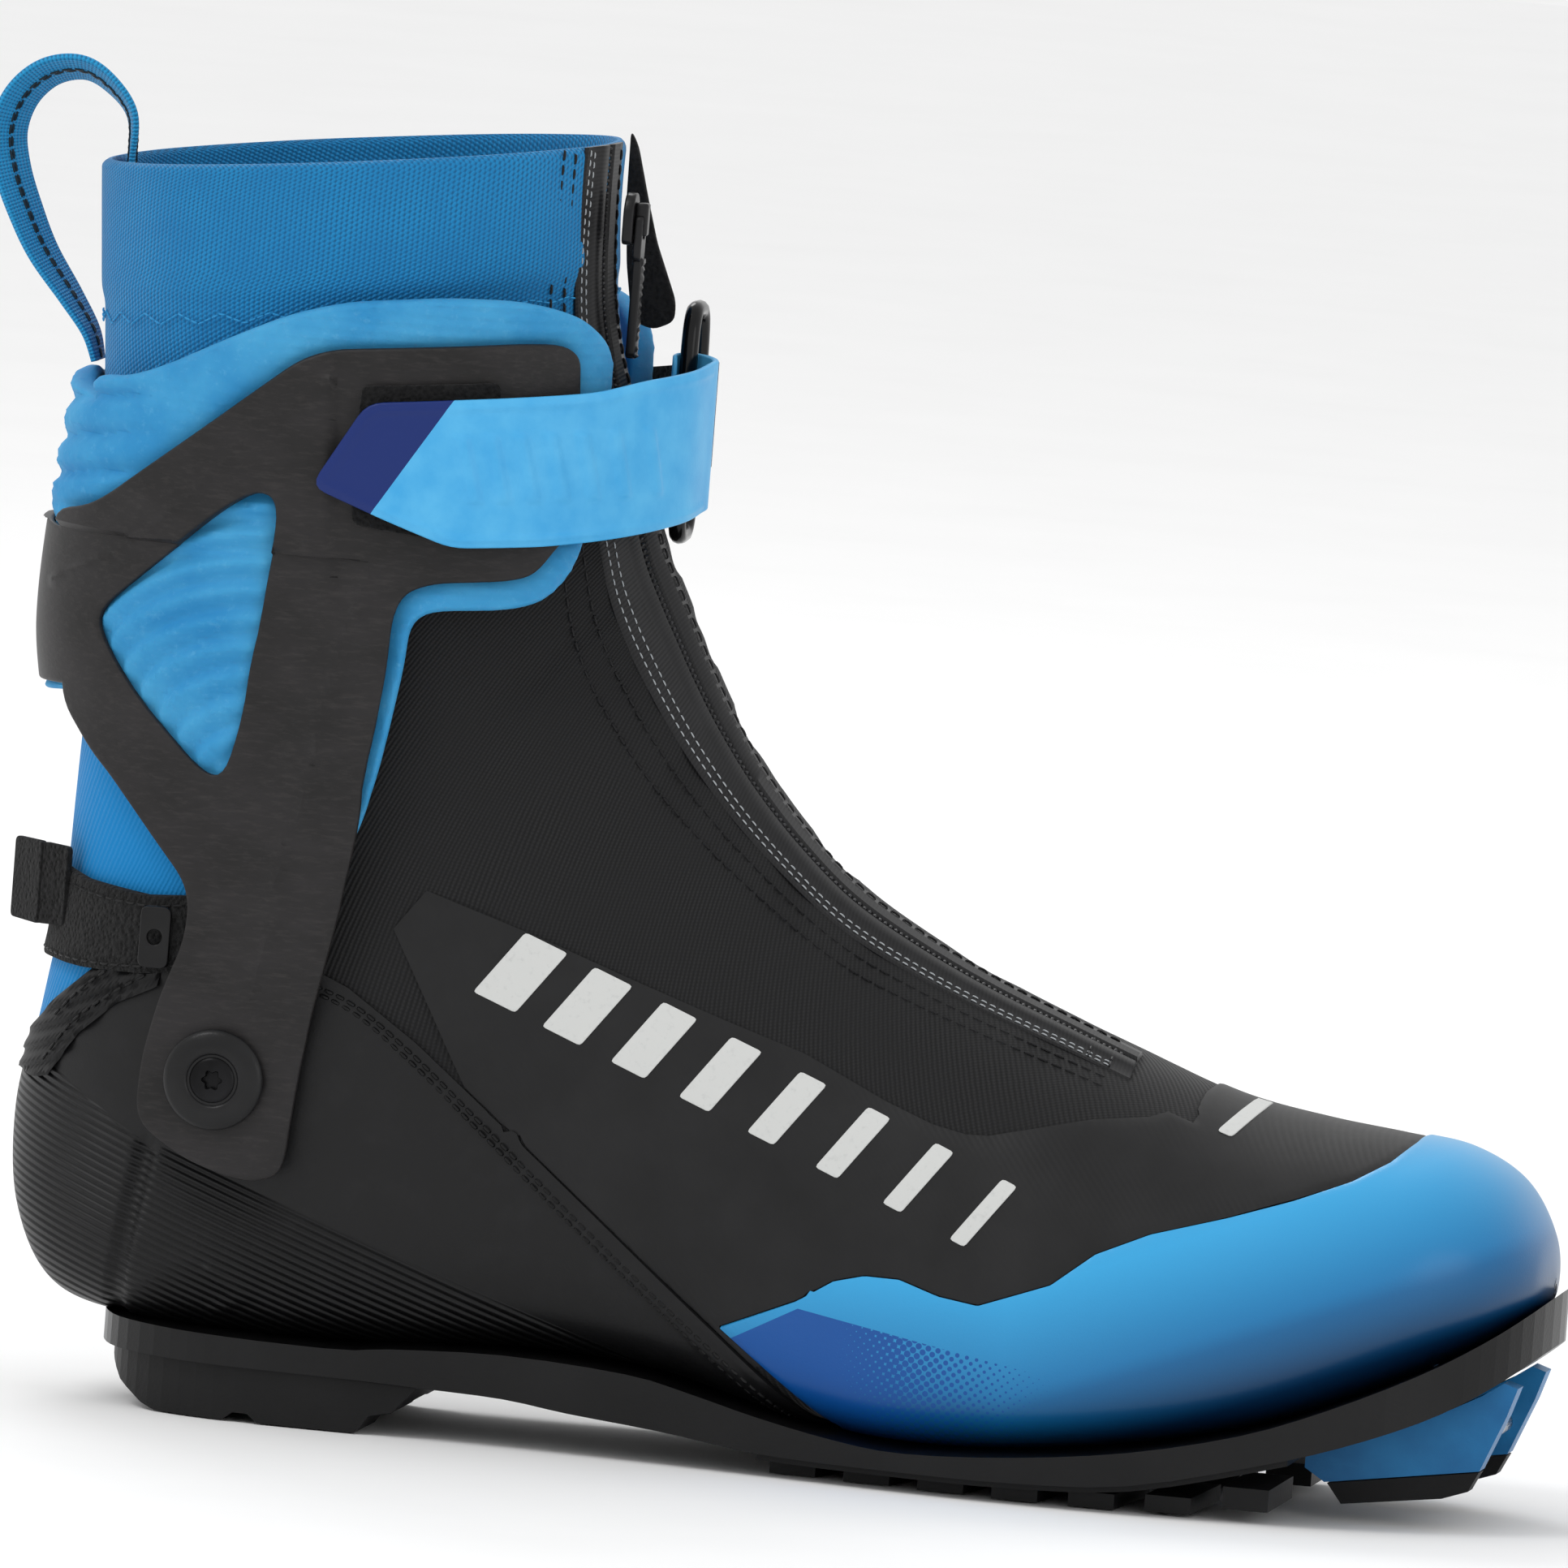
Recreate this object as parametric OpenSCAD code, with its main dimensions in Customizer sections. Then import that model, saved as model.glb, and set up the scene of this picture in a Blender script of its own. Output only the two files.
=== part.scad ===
// Cross country skate boot, right foot. Toe points to +X, the outer side of the foot is -Y, up is +Z.
// The boot stands on z = 0 on its heel pad and its forefoot tread. All sizes are millimetres.

/* [Boot] */
// Thickness of the soft outer shell
shell_t = 1.2; // [0.8:0.1:1.6]
// Thickness of the inner bootie
bootie_t = 3; // [2:0.5:3.5]
// Thickness of the knitted ankle collar
knit_t = 2; // [1.4:0.2:2.4]
// Thickness of the moulded heel counter
counter_t = 1.3; // [0.9:0.1:1.4]
// Thickness of the film on the forefoot
film_t = 0.5; // [0.4:0.1:0.6]
// Thickness of the toe guard
guard_t = 1; // [0.7:0.1:1.2]

/* [Cuff] */
// Wall of the composite cuff frame
frame_t = 3; // [2.4:0.2:3.4]
// Thickness of the foam pad under the cuff frame
pad_t = 3.6; // [3:0.2:3.8]
// Radius of the pivot screws
pivot_r = 3; // [2.6:0.1:3.2]
// Radius of the domed pivot washers
cap_r = 9.8; // [8.6:0.2:10]
// Thickness of the closing strap
strap_t = 1.4; // [1:0.1:1.6]

/* [Sole] */
// Radius of the steel toe bar
bar_r = 2; // [1.8:0.1:2.2]
// Clear width between the cheeks that hold the toe bar
bar_gap = 30; // [28:1:32]
// Height of the forefoot lugs
lug_h = 4; // [3:0.5:4]

/* [Hidden] */
$fn = 48;

PIVOT = [-99, 67];      // axis of the cuff in the side view
FOLD = [-24.3, 3];      // vertical axis that the closing strap turns on, in plan

// The foot form, one row per section from the toe tip back and up to the collar rim: x and z of the front
// or top point, x and z of the back or bottom point, half width outside, half width inside, y of the ridge,
// place of the widest point from bottom to top, roundness of the upper half, roundness of the lower half.
LAST = [
    [159, 46.5, 159, 45.5, 0.5, 0.5, 4, 0.45, 2, 2],
    [157, 56, 157, 42.6, 16, 15, 4, 0.45, 2, 2.4],
    [150.5, 65.5, 150.5, 37.6, 28, 27, 4, 0.42, 2.1, 2.8],
    [140, 71, 140, 31.4, 36.5, 34, 4, 0.4, 2.1, 3],
    [127, 72.8, 127, 25, 42, 39, 3.5, 0.36, 2.1, 3.2],
    [112, 74.5, 113, 19.2, 45.5, 42.5, 3, 0.34, 2.1, 3.6],
    [96, 77.5, 98, 15.1, 47, 45, 2, 0.32, 2, 4],
    [80, 83, 82, 11.7, 47.5, 46.5, 1, 0.3, 2, 4],
    [63, 89.5, 65, 9.4, 47, 46, 0, 0.28, 2, 4],
    [46, 96.5, 48, 8, 45, 43, 0, 0.27, 2, 4],
    [31, 104, 30, 8.5, 42.5, 39.5, 0, 0.26, 2, 4],
    [18, 112, 10, 12.3, 40, 36.5, 0, 0.28, 2, 4],
    [7, 122, -12, 17.3, 38.5, 35, 0, 0.3, 2, 3.8],
    [-2, 132.5, -36, 18.8, 37, 34.5, 0, 0.33, 2, 3.6],
    [-9, 143, -62, 17.3, 36.2, 34.5, 0, 0.36, 2, 3.6],
    [-14, 152, -90, 16.4, 35.8, 35, 0, 0.4, 2, 3.6],
    [-18, 160, -116, 17.4, 36, 35.5, 0, 0.43, 2, 3],
    [-21.5, 167, -133, 22, 36, 36, 0, 0.45, 2, 2.5],
    [-25, 174, -141.5, 36, 36, 36, 0, 0.47, 2, 2.3],
    [-27.5, 181, -143.5, 55, 36, 36, 0, 0.48, 2, 2.1],
    [-30, 188, -140.5, 75, 36, 36, 0, 0.5, 2, 2.1],
    [-32, 195, -138, 94, 36, 36, 0, 0.5, 2.1, 2.1],
    [-34, 203, -137, 115, 36.2, 36.2, 0, 0.5, 2.1, 2.1],
    [-36.5, 211, -136.5, 137, 36.7, 36.7, 0, 0.5, 2.1, 2.1],
    [-38.5, 220, -136.5, 160, 37.3, 37.3, 0, 0.5, 2.1, 2.1],
    [-39.5, 229, -137, 183, 38, 38, 0, 0.5, 2.1, 2.1],
    [-40, 240, -138.5, 210, 39.5, 39.5, 0, 0.5, 2.1, 2.1],
    [-40, 252, -141, 240, 41, 41, 0, 0.5, 2.1, 2.1],
];
RIM = len(LAST) - 1;

// The cuff, one row per height: z, x of the back, x of the front, half width, roundness.
CUFF = [
    [40, -152, -30, 39.2, 3], [70, -151, -28, 39.3, 3], [100, -147, -22, 40, 2.8],
    [125, -142.5, -16, 41, 2.6],
    [150, -145.5, -18, 41.8, 2.5], [175, -144.5, -23, 42.6, 2.4], [200, -142, -29, 43.2, 2.4],
    [228, -141.5, -31, 44, 2.4],
];

SOLE_PLAN = [
    [161.5, 3], [158, -15], [150, -28], [138, -38], [120, -45.5], [100, -49], [80, -50], [60, -49.5],
    [40, -47], [15, -42], [-15, -37.5], [-50, -34.5], [-88, -33], [-106, -28.5], [-118, -19], [-123, -6],
    [-123, 6], [-118, 19], [-106, 28], [-88, 32], [-50, 32], [-15, 32.5], [15, 37], [40, 43.5], [60, 48],
    [80, 50], [100, 48.5], [120, 44.5], [138, 38], [150, 30], [158, 19],
];
SOLE_TOP = [
    [-140, 19], [-118, 17], [-75, 16], [-62, 17], [-39.5, 18], [-15, 16.8], [-2.5, 14.5], [12, 11.2],
    [28, 8.5], [42, 7.5], [64, 9], [86, 12], [107, 17], [123, 23], [139, 30.5], [150, 37], [158, 43],
    [165, 49.5],
];
SOLE_LOW = [
    [-140, 13], [-118, 11], [-75, 10.5], [-55, 10], [-39, 9.5], [-26, 8], [-8, 6.5], [5, 5],
    [17, 4], [42, 3.8],
    [64, 4], [86, 5.5], [111, 11.5], [126, 16], [140, 21.5], [150, 27], [158, 33], [165, 39],
];

FRAME_EDGE = [
    [-165, 170], [-140, 173], [-132, 175], [-125, 180], [-99, 202], [-92, 208], [-86, 210.4], [-50, 214.2],
    [-44, 214.3], [-41.3, 212], [-41, 207], [-39, 179], [-42, 175.5], [-45.5, 169.7],
    [-50, 168.2], [-64, 166.7],
    [-69, 164.5], [-71, 160], [-71.5, 148], [-74, 129], [-77, 102.5], [-81.5, 79], [-84.5, 51.5], [-86, 49],
    [-90, 47.7], [-95, 48.2], [-104, 51], [-112, 56], [-114, 60], [-113.5, 70], [-111, 81.5], [-107, 93],
    [-106.5, 100], [-108, 105], [-124, 123], [-129, 127.5], [-136, 136], [-165, 139],
];
FRAME_WINDOW = [
    [-130, 154.5], [-117.5, 166], [-105.5, 177], [-99, 181.5], [-95, 181], [-94, 176], [-96, 160], [-99, 135],
    [-101.5, 125.5], [-106, 126], [-120, 139], [-127.5, 148.5],
];
PAD_EDGE = [
    [-165, 197], [-136, 200], [-128, 200.6], [-119.5, 204], [-106, 211.2], [-95, 216.5], [-84, 219.7],
    [-64, 222], [-50, 222.2], [-41, 220], [-36.5, 215.5], [-35, 210], [-36.5, 176], [-39, 169], [-43, 164.4],
    [-49, 162.4], [-64, 161.2], [-67.5, 158], [-68, 150], [-71.5, 129.5], [-76, 113], [-86, 110], [-100, 112],
    [-104, 117], [-120, 125], [-130, 134], [-165, 142],
];
HEEL_STRAP_EDGE = [
    [-165, 109], [-146, 108.5], [-138, 106], [-128, 103], [-115, 101.5], [-102, 102.5], [-102, 88],
    [-115, 86.5], [-128, 86.5], [-138, 87.5], [-150, 89], [-165, 90],
];
BINDING_EDGE = [
    [-160, 70], [-141, 71], [-134, 79], [-126, 86], [-118, 92], [-112, 94], [-112, 84], [-120, 80],
    [-128, 73], [-134, 64], [-160, 62],
];
STRAP_EDGE = [
    [-87.7, 184], [-78, 201], [-60, 203], [-44, 204.8], [-36, 205.8], [-28, 208.3], [-12, 214], [-12, 185.5],
    [-22, 180.5], [-34, 177], [-44, 175.5], [-60, 174.2], [-74, 179],
];
COUNTER_EDGE = [
    [-160, 69], [-140.5, 70], [-134, 78], [-126, 85], [-118, 91], [-104, 95], [-88, 92],
    [-75, 86.5], [-61, 77],
    [-46.5, 65.5], [-27, 50], [2, 27], [24, 9], [24, 0], [-160, 0],
];
GUARD_EDGE = [
    [165, 76], [132, 76.2], [131, 72], [128, 69], [122, 65.5], [112, 61.5], [100, 57.5], [86, 53.5],
    [76, 49], [68, 42.5], [54, 37.2], [46, 38.2], [38, 40.6], [31, 40.6], [25, 39], [18, 34.5], [3, 28],
    [26, 10.5],
    [26, 0], [165, 0],
];
FILM_EDGE = [
    [-68, 78], [-47, 92], [-28, 93], [-18, 89], [14, 81.5], [31, 74], [47, 69], [64, 71.8], [82, 75],
    [88, 77], [90, 80], [92, 92], [165, 92], [165, 44], [3, 29], [-27, 52],
];
LOOP_PATH = [
    [-139.6, 200.5], [-141.5, 206], [-146, 212.5], [-152, 220.5], [-156, 228], [-159.3, 236],
    [-160.6, 243.5], [-158.5, 250.5], [-153.5, 255.5], [-147, 257], [-140.9, 254.5], [-136.7, 249],
    [-135.9, 241], [-135.9, 232],
];
// Turning points of the lace: section of the form and y.
LACE_PATH = [
    [11.6, -11], [11.5, 11], [11.3, -13], [11.15, 13], [11, -14], [10.8, 14], [10.6, -14], [10.4, 14],
    [10.2, -13],
];
LOOP_W = 10;            // width of the pull loop's webbing
LOOP_T = 1.2;           // its thickness
LOOP_TWIST = 35;        // how far it twists at its top
LACE_DEPTH = 11;        // depth of the lace under the surface of the form

// --- functions ---
function cubic(a, b, c, d, t) =
    0.5 * (2 * b + (c - a) * t + (2 * a - 5 * b + 4 * c - d) * t * t + (3 * b - 3 * c + d - a) * t * t * t);
function pick(p, i) = p[max(0, min(len(p) - 1, i))];
function at(p, s) = let(i = max(0, min(len(p) - 2, floor(s))))
    cubic(pick(p, i - 1), p[i], p[i + 1], pick(p, i + 2), s - i);
function open_curve(p, n) = [for (k = [0 : (len(p) - 1) * n]) at(p, k / n)];
function closed_curve(p, n) = let(m = len(p)) [
    for (i = [0 : m - 1], k = [0 : n - 1])
        cubic(p[(i + m - 1) % m], p[i], p[(i + 1) % m], p[(i + 2) % m], k / n)
];
function signed_pow(x, p) = sign(x) * pow(abs(x), p);

// Point of the foot form at section s, angle v round it (0 front or top, 90 inside) and offset d outward.
function form(s, v, d) = let(
    r = at(LAST, s), f = [r[0], r[1]], b = [r[2], r[3]], u = (f - b) / norm(f - b), c = b + (f - b) * r[7],
    n = cos(v) >= 0 ? r[8] : r[9],
    q = (cos(v) >= 0 ? f + u * d - c : b - u * d - c) * pow(abs(cos(v)), 2 / n),
    w = ((sin(v) < 0 ? r[4] : r[5]) + d) * signed_pow(sin(v), 2 / n)
) [c[0] + q[0], r[6] + w, c[1] + q[1]];

// Angle round section s at which the upper half of the form has the given y.
function angle_of(s, y) = let(r = at(LAST, s), h = y - r[6])
    sign(h) * asin(pow(min(1, abs(h) / (h < 0 ? r[4] : r[5])), r[8] / 2));

// Point of the cuff at height z, angle v round it (0 back, 90 inside) and offset d outward.
function cuff(z, v, d) = let(
    k = [for (i = [0 : len(CUFF) - 2]) if (z >= CUFF[i][0]) i], i = max(k),
    r = at(CUFF, i + (z - CUFF[i][0]) / (CUFF[i + 1][0] - CUFF[i][0])),
    c = (r[1] + r[2]) / 2, a = (r[2] - r[1]) / 2 + d, e = 2 / r[4]
) [c - a * signed_pow(cos(v), e), (r[3] + d) * signed_pow(sin(v), e), z];

// --- solids from grids of points ---
// Closed tube: rings of points, capped at both ends by the middle of the end ring.
module rings_solid(rings) {
    n = len(rings[0]);
    m = len(rings);
    ends = [for (r = [rings[0], rings[m - 1]]) [for (i = [0 : 2]) [for (p = r) p[i]] * [for (p = r) 1 / n]]];
    polyhedron(
        points = [for (r = rings, p = r) p, ends[0], ends[1]],
        faces = [
            for (i = [0 : m - 2], j = [0 : n - 1]) let(a = i * n + j, b = i * n + (j + 1) % n)
                each [[a, a + n, b + n], [a, b + n, b]],
            for (j = [0 : n - 1]) let(k = (j + 1) % n, last = (m - 1) * n)
                each [[m * n, j, k], [m * n + 1, last + k, last + j]],
        ]
    );
}

// Solid slab between a grid of outer points and a grid of inner points of the same size.
module slab(outer, inner) {
    m = len(outer);
    n = len(outer[0]);
    off = m * n;
    edge = [
        for (j = [0 : n - 2]) [j, j + 1],
        for (i = [0 : m - 2]) [i * n + n - 1, i * n + 2 * n - 1],
        for (j = [0 : n - 2]) [m * n - 1 - j, m * n - 2 - j],
        for (i = [0 : m - 2]) [(m - 1 - i) * n, (m - 2 - i) * n],
    ];
    polyhedron(
        points = [for (r = outer, p = r) p, for (r = inner, p = r) p],
        faces = [
            for (i = [0 : m - 2], j = [0 : n - 2]) let(a = i * n + j) each [
                [a, a + 1, a + n + 1], [a, a + n + 1, a + n],
                [off + a, off + a + n + 1, off + a + 1], [off + a, off + a + n, off + a + n + 1],
            ],
            for (e = edge) each [[e[0], off + e[0], off + e[1]], [e[0], off + e[1], e[1]]],
        ]
    );
}

// Whole foot form at offset d as a solid, from section s0 near the toe to the rim and a little past it.
module form_solid(d, s0, s1, over = 0) {
    rows = 32;
    cols = 24;
    rings_solid([
        for (i = [0 : rows + (over > 0 ? 1 : 0)])
            let(s = i == 0 ? s0 : i >= rows ? s1 : RIM * pow(i / rows, 1.15))
                [for (j = [0 : cols - 1]) form(s, j * 360 / cols, d) + [0, 0, i > rows ? over : 0]]
    ]);
}

// Shell of the foot form between two offsets, inner < outer.
module form_shell(inner, outer) {
    difference() {
        form_solid(outer, max(0, -0.3 * outer), RIM);
        form_solid(inner, max(0.05, -0.3 * inner), RIM, 2);
    }
}

module cuff_solid(d, z0, z1) {
    rows = 11;
    cols = 36;
    rings_solid([
        for (i = [0 : rows]) let(z = z0 + (z1 - z0) * i / rows)
            [for (j = [0 : cols - 1]) cuff(z, -j * 360 / cols, d)]
    ]);
}

module cuff_shell(inner, outer) {
    difference() {
        cuff_solid(outer, 42, 226);
        cuff_solid(inner, 41, 227);
    }
}

// Strip on the foot form between two y values along sections s0 to s1 and offsets d0 to d1.
module form_strip(s0, s1, y0, y1, d0, d1, rows = 20, cols = 3) {
    function grid(d) = [
        for (i = [0 : rows]) let(s = s0 + (s1 - s0) * i / rows)
            [for (j = [0 : cols]) form(s, angle_of(s, y0 + (y1 - y0) * j / cols), d)]
    ];
    slab(grid(d1), grid(d0));
}

module side(outline, y0 = -80, y1 = 80) {
    translate([0, y1, 0]) rotate([90, 0, 0]) linear_extrude(y1 - y0) polygon(outline);
}

// One mesh from a boolean of grid solids.
module meshed() {
    minkowski() children();
}

function ray(angle, r) = PIVOT + r * [cos(angle), sin(angle)];
module disc(r) {
    translate([PIVOT[0], 80, PIVOT[1]]) rotate([90, 0, 0]) cylinder(h = 160, r = r);
}
// Side-view regions: the foot stays with the sole, the shaft turns with the cuff, the ankle bends between.
FOOT_FRONT = 29;
SHAFT_FRONT = 45;
FOOT_BACK = 131;
SHAFT_BACK = 125;
DISC_FOOT = 33;
DISC_SHAFT = 37;
module shaft_region() {
    difference() {
        side([PIVOT, ray(SHAFT_FRONT, 400), ray(90, 500), ray(SHAFT_BACK, 400)]);
        disc(DISC_SHAFT);
    }
}
module foot_region() {
    union() {
        side([
            PIVOT, ray(FOOT_BACK, 300), ray(180, 400), ray(240, 400), ray(300, 400), ray(0, 600),
            ray(FOOT_FRONT, 300),
        ]);
        disc(DISC_FOOT);
    }
}
module ankle_sector() {
    difference() {
        side([
            PIVOT, ray(FOOT_FRONT + 0.3, 300), ray(SHAFT_FRONT - 0.3, 300), ray(SHAFT_FRONT - 0.3, 20),
            ray(SHAFT_BACK + 0.3, 20), ray(SHAFT_BACK + 0.3, 300), ray(FOOT_BACK - 0.3, 300),
        ]);
        disc(DISC_FOOT + 0.3);
    }
}
module ankle_ring() {
    intersection() {
        side([ray(SHAFT_FRONT, 80), ray(90, 90), ray(SHAFT_BACK, 80), PIVOT]);
        difference() {
            disc(DISC_SHAFT - 0.3);
            disc(DISC_FOOT + 0.3);
        }
    }
}

module ankle_region() {
    ankle_sector();
    ankle_ring();
}

// --- sole ---
function strip_outline(top, low, n = 3) =
    concat(open_curve(top, n), [for (p = [(len(low) - 1) * n : -1 : 0]) at(low, p / n)]);
function raised(p, h) = [for (q = p) [q[0], q[1] + h]];
module sole_plan(inset = 0) {
    plan = closed_curve(SOLE_PLAN, 4);
    middle = 12;
    along = 1 - inset / 150;
    across = 1 - inset / 50;
    translate([0, 0, -5]) linear_extrude(90)
        polygon([for (q = plan) [middle + (q[0] - middle) * along, q[1] * across]]);
}
module sole_layer(top, low, inset = 0, x0 = -200, x1 = 200) {
    intersection() {
        sole_plan(inset);
        side(strip_outline(top, low));
        translate([x0, -80, -10]) cube([x1 - x0, 160, 110]);
    }
}

module sole_chassis() color("#151515") difference() {
    sole_layer(SOLE_TOP, SOLE_LOW);
    translate([139, -bar_gap / 2, -5]) cube([40, bar_gap, 36]);
}
module heel_pad() color("#121212") intersection() {
    sole_plan(2.5);
    difference() {
        side([
            [-123, 11.2], [-117.5, 4.5], [-112, 1], [-109, 0], [-94.5, 0], [-92.5, 1.6], [-89.5, 1.6],
            [-87.5, 0], [-68, 0], [-65.5, 3.5], [-61, 4.5], [-56.5, 9.8], [-75, 10.3], [-118, 10.8],
        ]);
        translate([-84, -9, -2]) cube([40, 18, 7]);
    }
}
module forefoot_tread() color("#161616") {
    web = 1.4;
    sole_layer(raised(SOLE_LOW, -0.1), raised(SOLE_LOW, -web), 4, 12, 116);
    for (i = [0 : 6], m = [-1, 1]) let(
        x = 20 + 14 * i, z = x < 80 ? 0 : (x - 80) * (x - 80) / 260,
        y0 = m * 12, y1 = m * (34 + min(i, 3) * 3)
    )
        translate([0, 0, z]) linear_extrude(lug_h + 0.6 * z - 1)
            polygon([[x, y0], [x + 9, y0], [x + 3 + i, y1], [x - 6 + i, y1]]);
}
BAR = [149, 18];        // toe bar in the side view
CHEEK = 7;              // width of each cheek beside the toe bar
BAR_SEAT = 4;           // depth of the bar's seat in each cheek
// A piece for each side, from its outline in the side view and its distances from the middle.
module cheeks(outline, y0, y1) {
    side(outline, y0, y1);
    side(outline, -y1, -y0);
}
module toe_block() color("#2478ad") difference() {
    cheeks([
        [116.5, 12.8], [116.5, 9.5], [120.5, 7], [150.5, 11.8], [155, 22.8], [156.8, 28.4], [154, 29.3],
        [150, 26.5], [140, 21], [126, 15.5],
    ], bar_gap / 2, bar_gap / 2 + CHEEK);
    translate([BAR[0], 0, BAR[1]]) rotate([90, 0, 0])
        cylinder(h = bar_gap + 2 * BAR_SEAT + 0.1, r = bar_r + 0.02, center = true);
}
module toe_wear_pad() color("#101010")
    cheeks([[121, 6.8], [124, 3], [143.5, 5.8], [148.5, 7.6], [150.4, 11.5]],
        bar_gap / 2 + 0.5, bar_gap / 2 + CHEEK - 0.5);
module toe_bar() color("silver") translate([BAR[0], 0, BAR[1]]) rotate([90, 0, 0])
    cylinder(h = bar_gap + 2 * BAR_SEAT, r = bar_r, center = true);

// --- inside the boot ---
// Layer inside the form, between two heights over the top of the sole and inside the form's offset d.
module bed_layer(d, low, high, x0, x1) {
    meshed() intersection() {
        form_solid(d, -0.3 * d, RIM);
        side(strip_outline(raised(SOLE_TOP, high), raised(SOLE_TOP, low), 1));
        translate([x0, -80, -10]) cube([x1 - x0, 160, 110]);
    }
}
BOARD_TOP = 3.9;        // height of the lasting board over the top of the sole
module below_top(h, n = 3) {
    side(concat([[-170, 19 + h]], raised(open_curve(SOLE_TOP, n), h), [[165, -20], [-170, -20]]));
}
module lasting_board() color("#b9a47c") bed_layer(-shell_t - 0.3, 0, BOARD_TOP, -122, 142);
module insole() color("#3c6f8f")
    bed_layer(-shell_t - bootie_t - 1.4, BOARD_TOP + 0.7, BOARD_TOP + 3.9, -114, 136);
module shell_part(inner, outer, hole = pivot_r + 0.3) {
    meshed() difference() {
        intersection() {
            form_shell(inner, outer);
            children();
        }
        at_pivots(hole, 20, 60);
    }
}
NUT_R = pivot_r + 3.5;
module bootie_part(gap) {
    shell_part(-shell_t - gap - bootie_t, -shell_t - gap, NUT_R + 0.4) children();
}
module softshell_foot() color("#2b2b2c") shell_part(-shell_t, 0) foot_region();
module softshell_ankle() color("#2b2b2c") shell_part(-shell_t, 0) ankle_region();
KNIT_LINE = [[-170, 198], [-20, 204], [-20, 290], [-170, 290]];
module softshell_shaft() color("#2b2b2c") shell_part(-shell_t, 0) difference() {
    shaft_region();
    side(KNIT_LINE);
}
module knit_collar() color("#1589c0") shell_part(-knit_t, 0) side(raised(KNIT_LINE, 0.42));
module bootie_foot() color("#1d1d20") bootie_part(0.8) difference() {
    foot_region();
    below_top(BOARD_TOP + 2.8, 1);
}
module bootie_ankle() color("#1d1d20") bootie_part(0.8) ankle_region();
module bootie_shaft() color("#1d1d20") bootie_part(1.3) difference() {
    shaft_region();
    side([[-170, 214], [-20, 222], [-20, 290], [-170, 290]]);
}
module tongue() color("#26262a") form_strip(9.2, 12.2, -19, 21, -9.2, -5.6, 18, 8);
module lace() color("#202024") {
    knots = [for (q = LACE_PATH) form(q[0], angle_of(q[0], q[1]), -LACE_DEPTH)];
    path = open_curve(knots, 5);
    r = 0.9;
    rings_solid([
        for (i = [0 : len(path) - 1]) let(
            t = path[min(i + 1, len(path) - 1)] - path[max(i - 1, 0)], a = cross(t, [1, 0, 1]),
                b = cross(t, a)
        ) [for (j = [0 : 7]) path[i] + r * (cos(j * 45) * a / norm(a) + sin(j * 45) * b / norm(b))]
    ]);
}
module lace_lock() color("#303034") translate([4, -9, 99]) rotate([0, 38, 0]) difference() {
    translate([-9, -6, -3.5]) cube([18, 12, 5]);
    translate([0, 8, -1]) rotate([90, 0, 0]) cylinder(h = 16, r = 1.2);
}

// --- outer skins ---
module heel_counter() color("#18181a") shell_part(0.3, counter_t) difference() {
    side(COUNTER_EDGE);
    below_top(0.1);
}
module heel_binding() color("#141416") shell_part(counter_t + 0.5, counter_t + 1.5) difference() {
    side(BINDING_EDGE);
    side(HEEL_STRAP_EDGE);
}
module forefoot_film() color("#2a2a2c") shell_part(0.2, 0.2 + film_t) difference() {
    side(FILM_EDGE);
    side(GUARD_EDGE);
    side(COUNTER_EDGE);
    translate([-20, -22, 70]) cube([110, 46, 60]);
}
module toe_guard() color("#2f9bd4") shell_part(0.3, guard_t) difference() {
    side(GUARD_EDGE);
    below_top(0.1);
}
module pull_loop() color("#1c9bd1") {
    path = open_curve(LOOP_PATH, 3);
    m = len(path) - 1;
    rings_solid([
        for (i = [0 : m]) let(
            t = path[min(i + 1, m)] - path[max(i - 1, 0)], n = [t[1], -t[0]] / norm(t),
            a = LOOP_TWIST * sin(180 * i / m), c = [path[i][0], 0, path[i][1]],
            w = [n[0] * sin(a), cos(a), n[1] * sin(a)] * LOOP_W / 2,
            h = [n[0] * cos(a), -sin(a), n[1] * cos(a)] * LOOP_T / 2
        ) [c - w - h, c + w - h, c + w + h, c - w + h]
    ]);
}

// --- zip ---
ZIP_Y = -10;            // the zip runs this far to the outer side of the ridge
ZIP_BOTTOM = 7.4;       // section where the zip ends near the toes
SLIDER_Z = 238;
ZIP_BEND = [12.1, 15.1];  // sections between which the zip bends with the ankle
module tape(s0, s1) form_strip(s0, s1, ZIP_Y - 7, ZIP_Y + 7, 0.3, 1, 18, 3);
module coil(s0, s1, d = 1.1) form_strip(s0, s1, ZIP_Y - 2, ZIP_Y + 2, d, 1.9, 18, 2);
module zip_tape_foot() color("#1a1a1c") tape(ZIP_BOTTOM, ZIP_BEND[0]);
module zip_coil_foot() color("#3a3a3c") coil(ZIP_BOTTOM + 0.2, ZIP_BEND[0]);
module zip_ankle() color("#1a1a1c") tape(ZIP_BEND[0] + 0.02, ZIP_BEND[1] - 0.02);
module zip_tape() color("#1a1a1c") tape(ZIP_BEND[1], RIM);
module zip_coil() color("#3a3a3c") coil(ZIP_BEND[1], RIM - 0.1);
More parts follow.
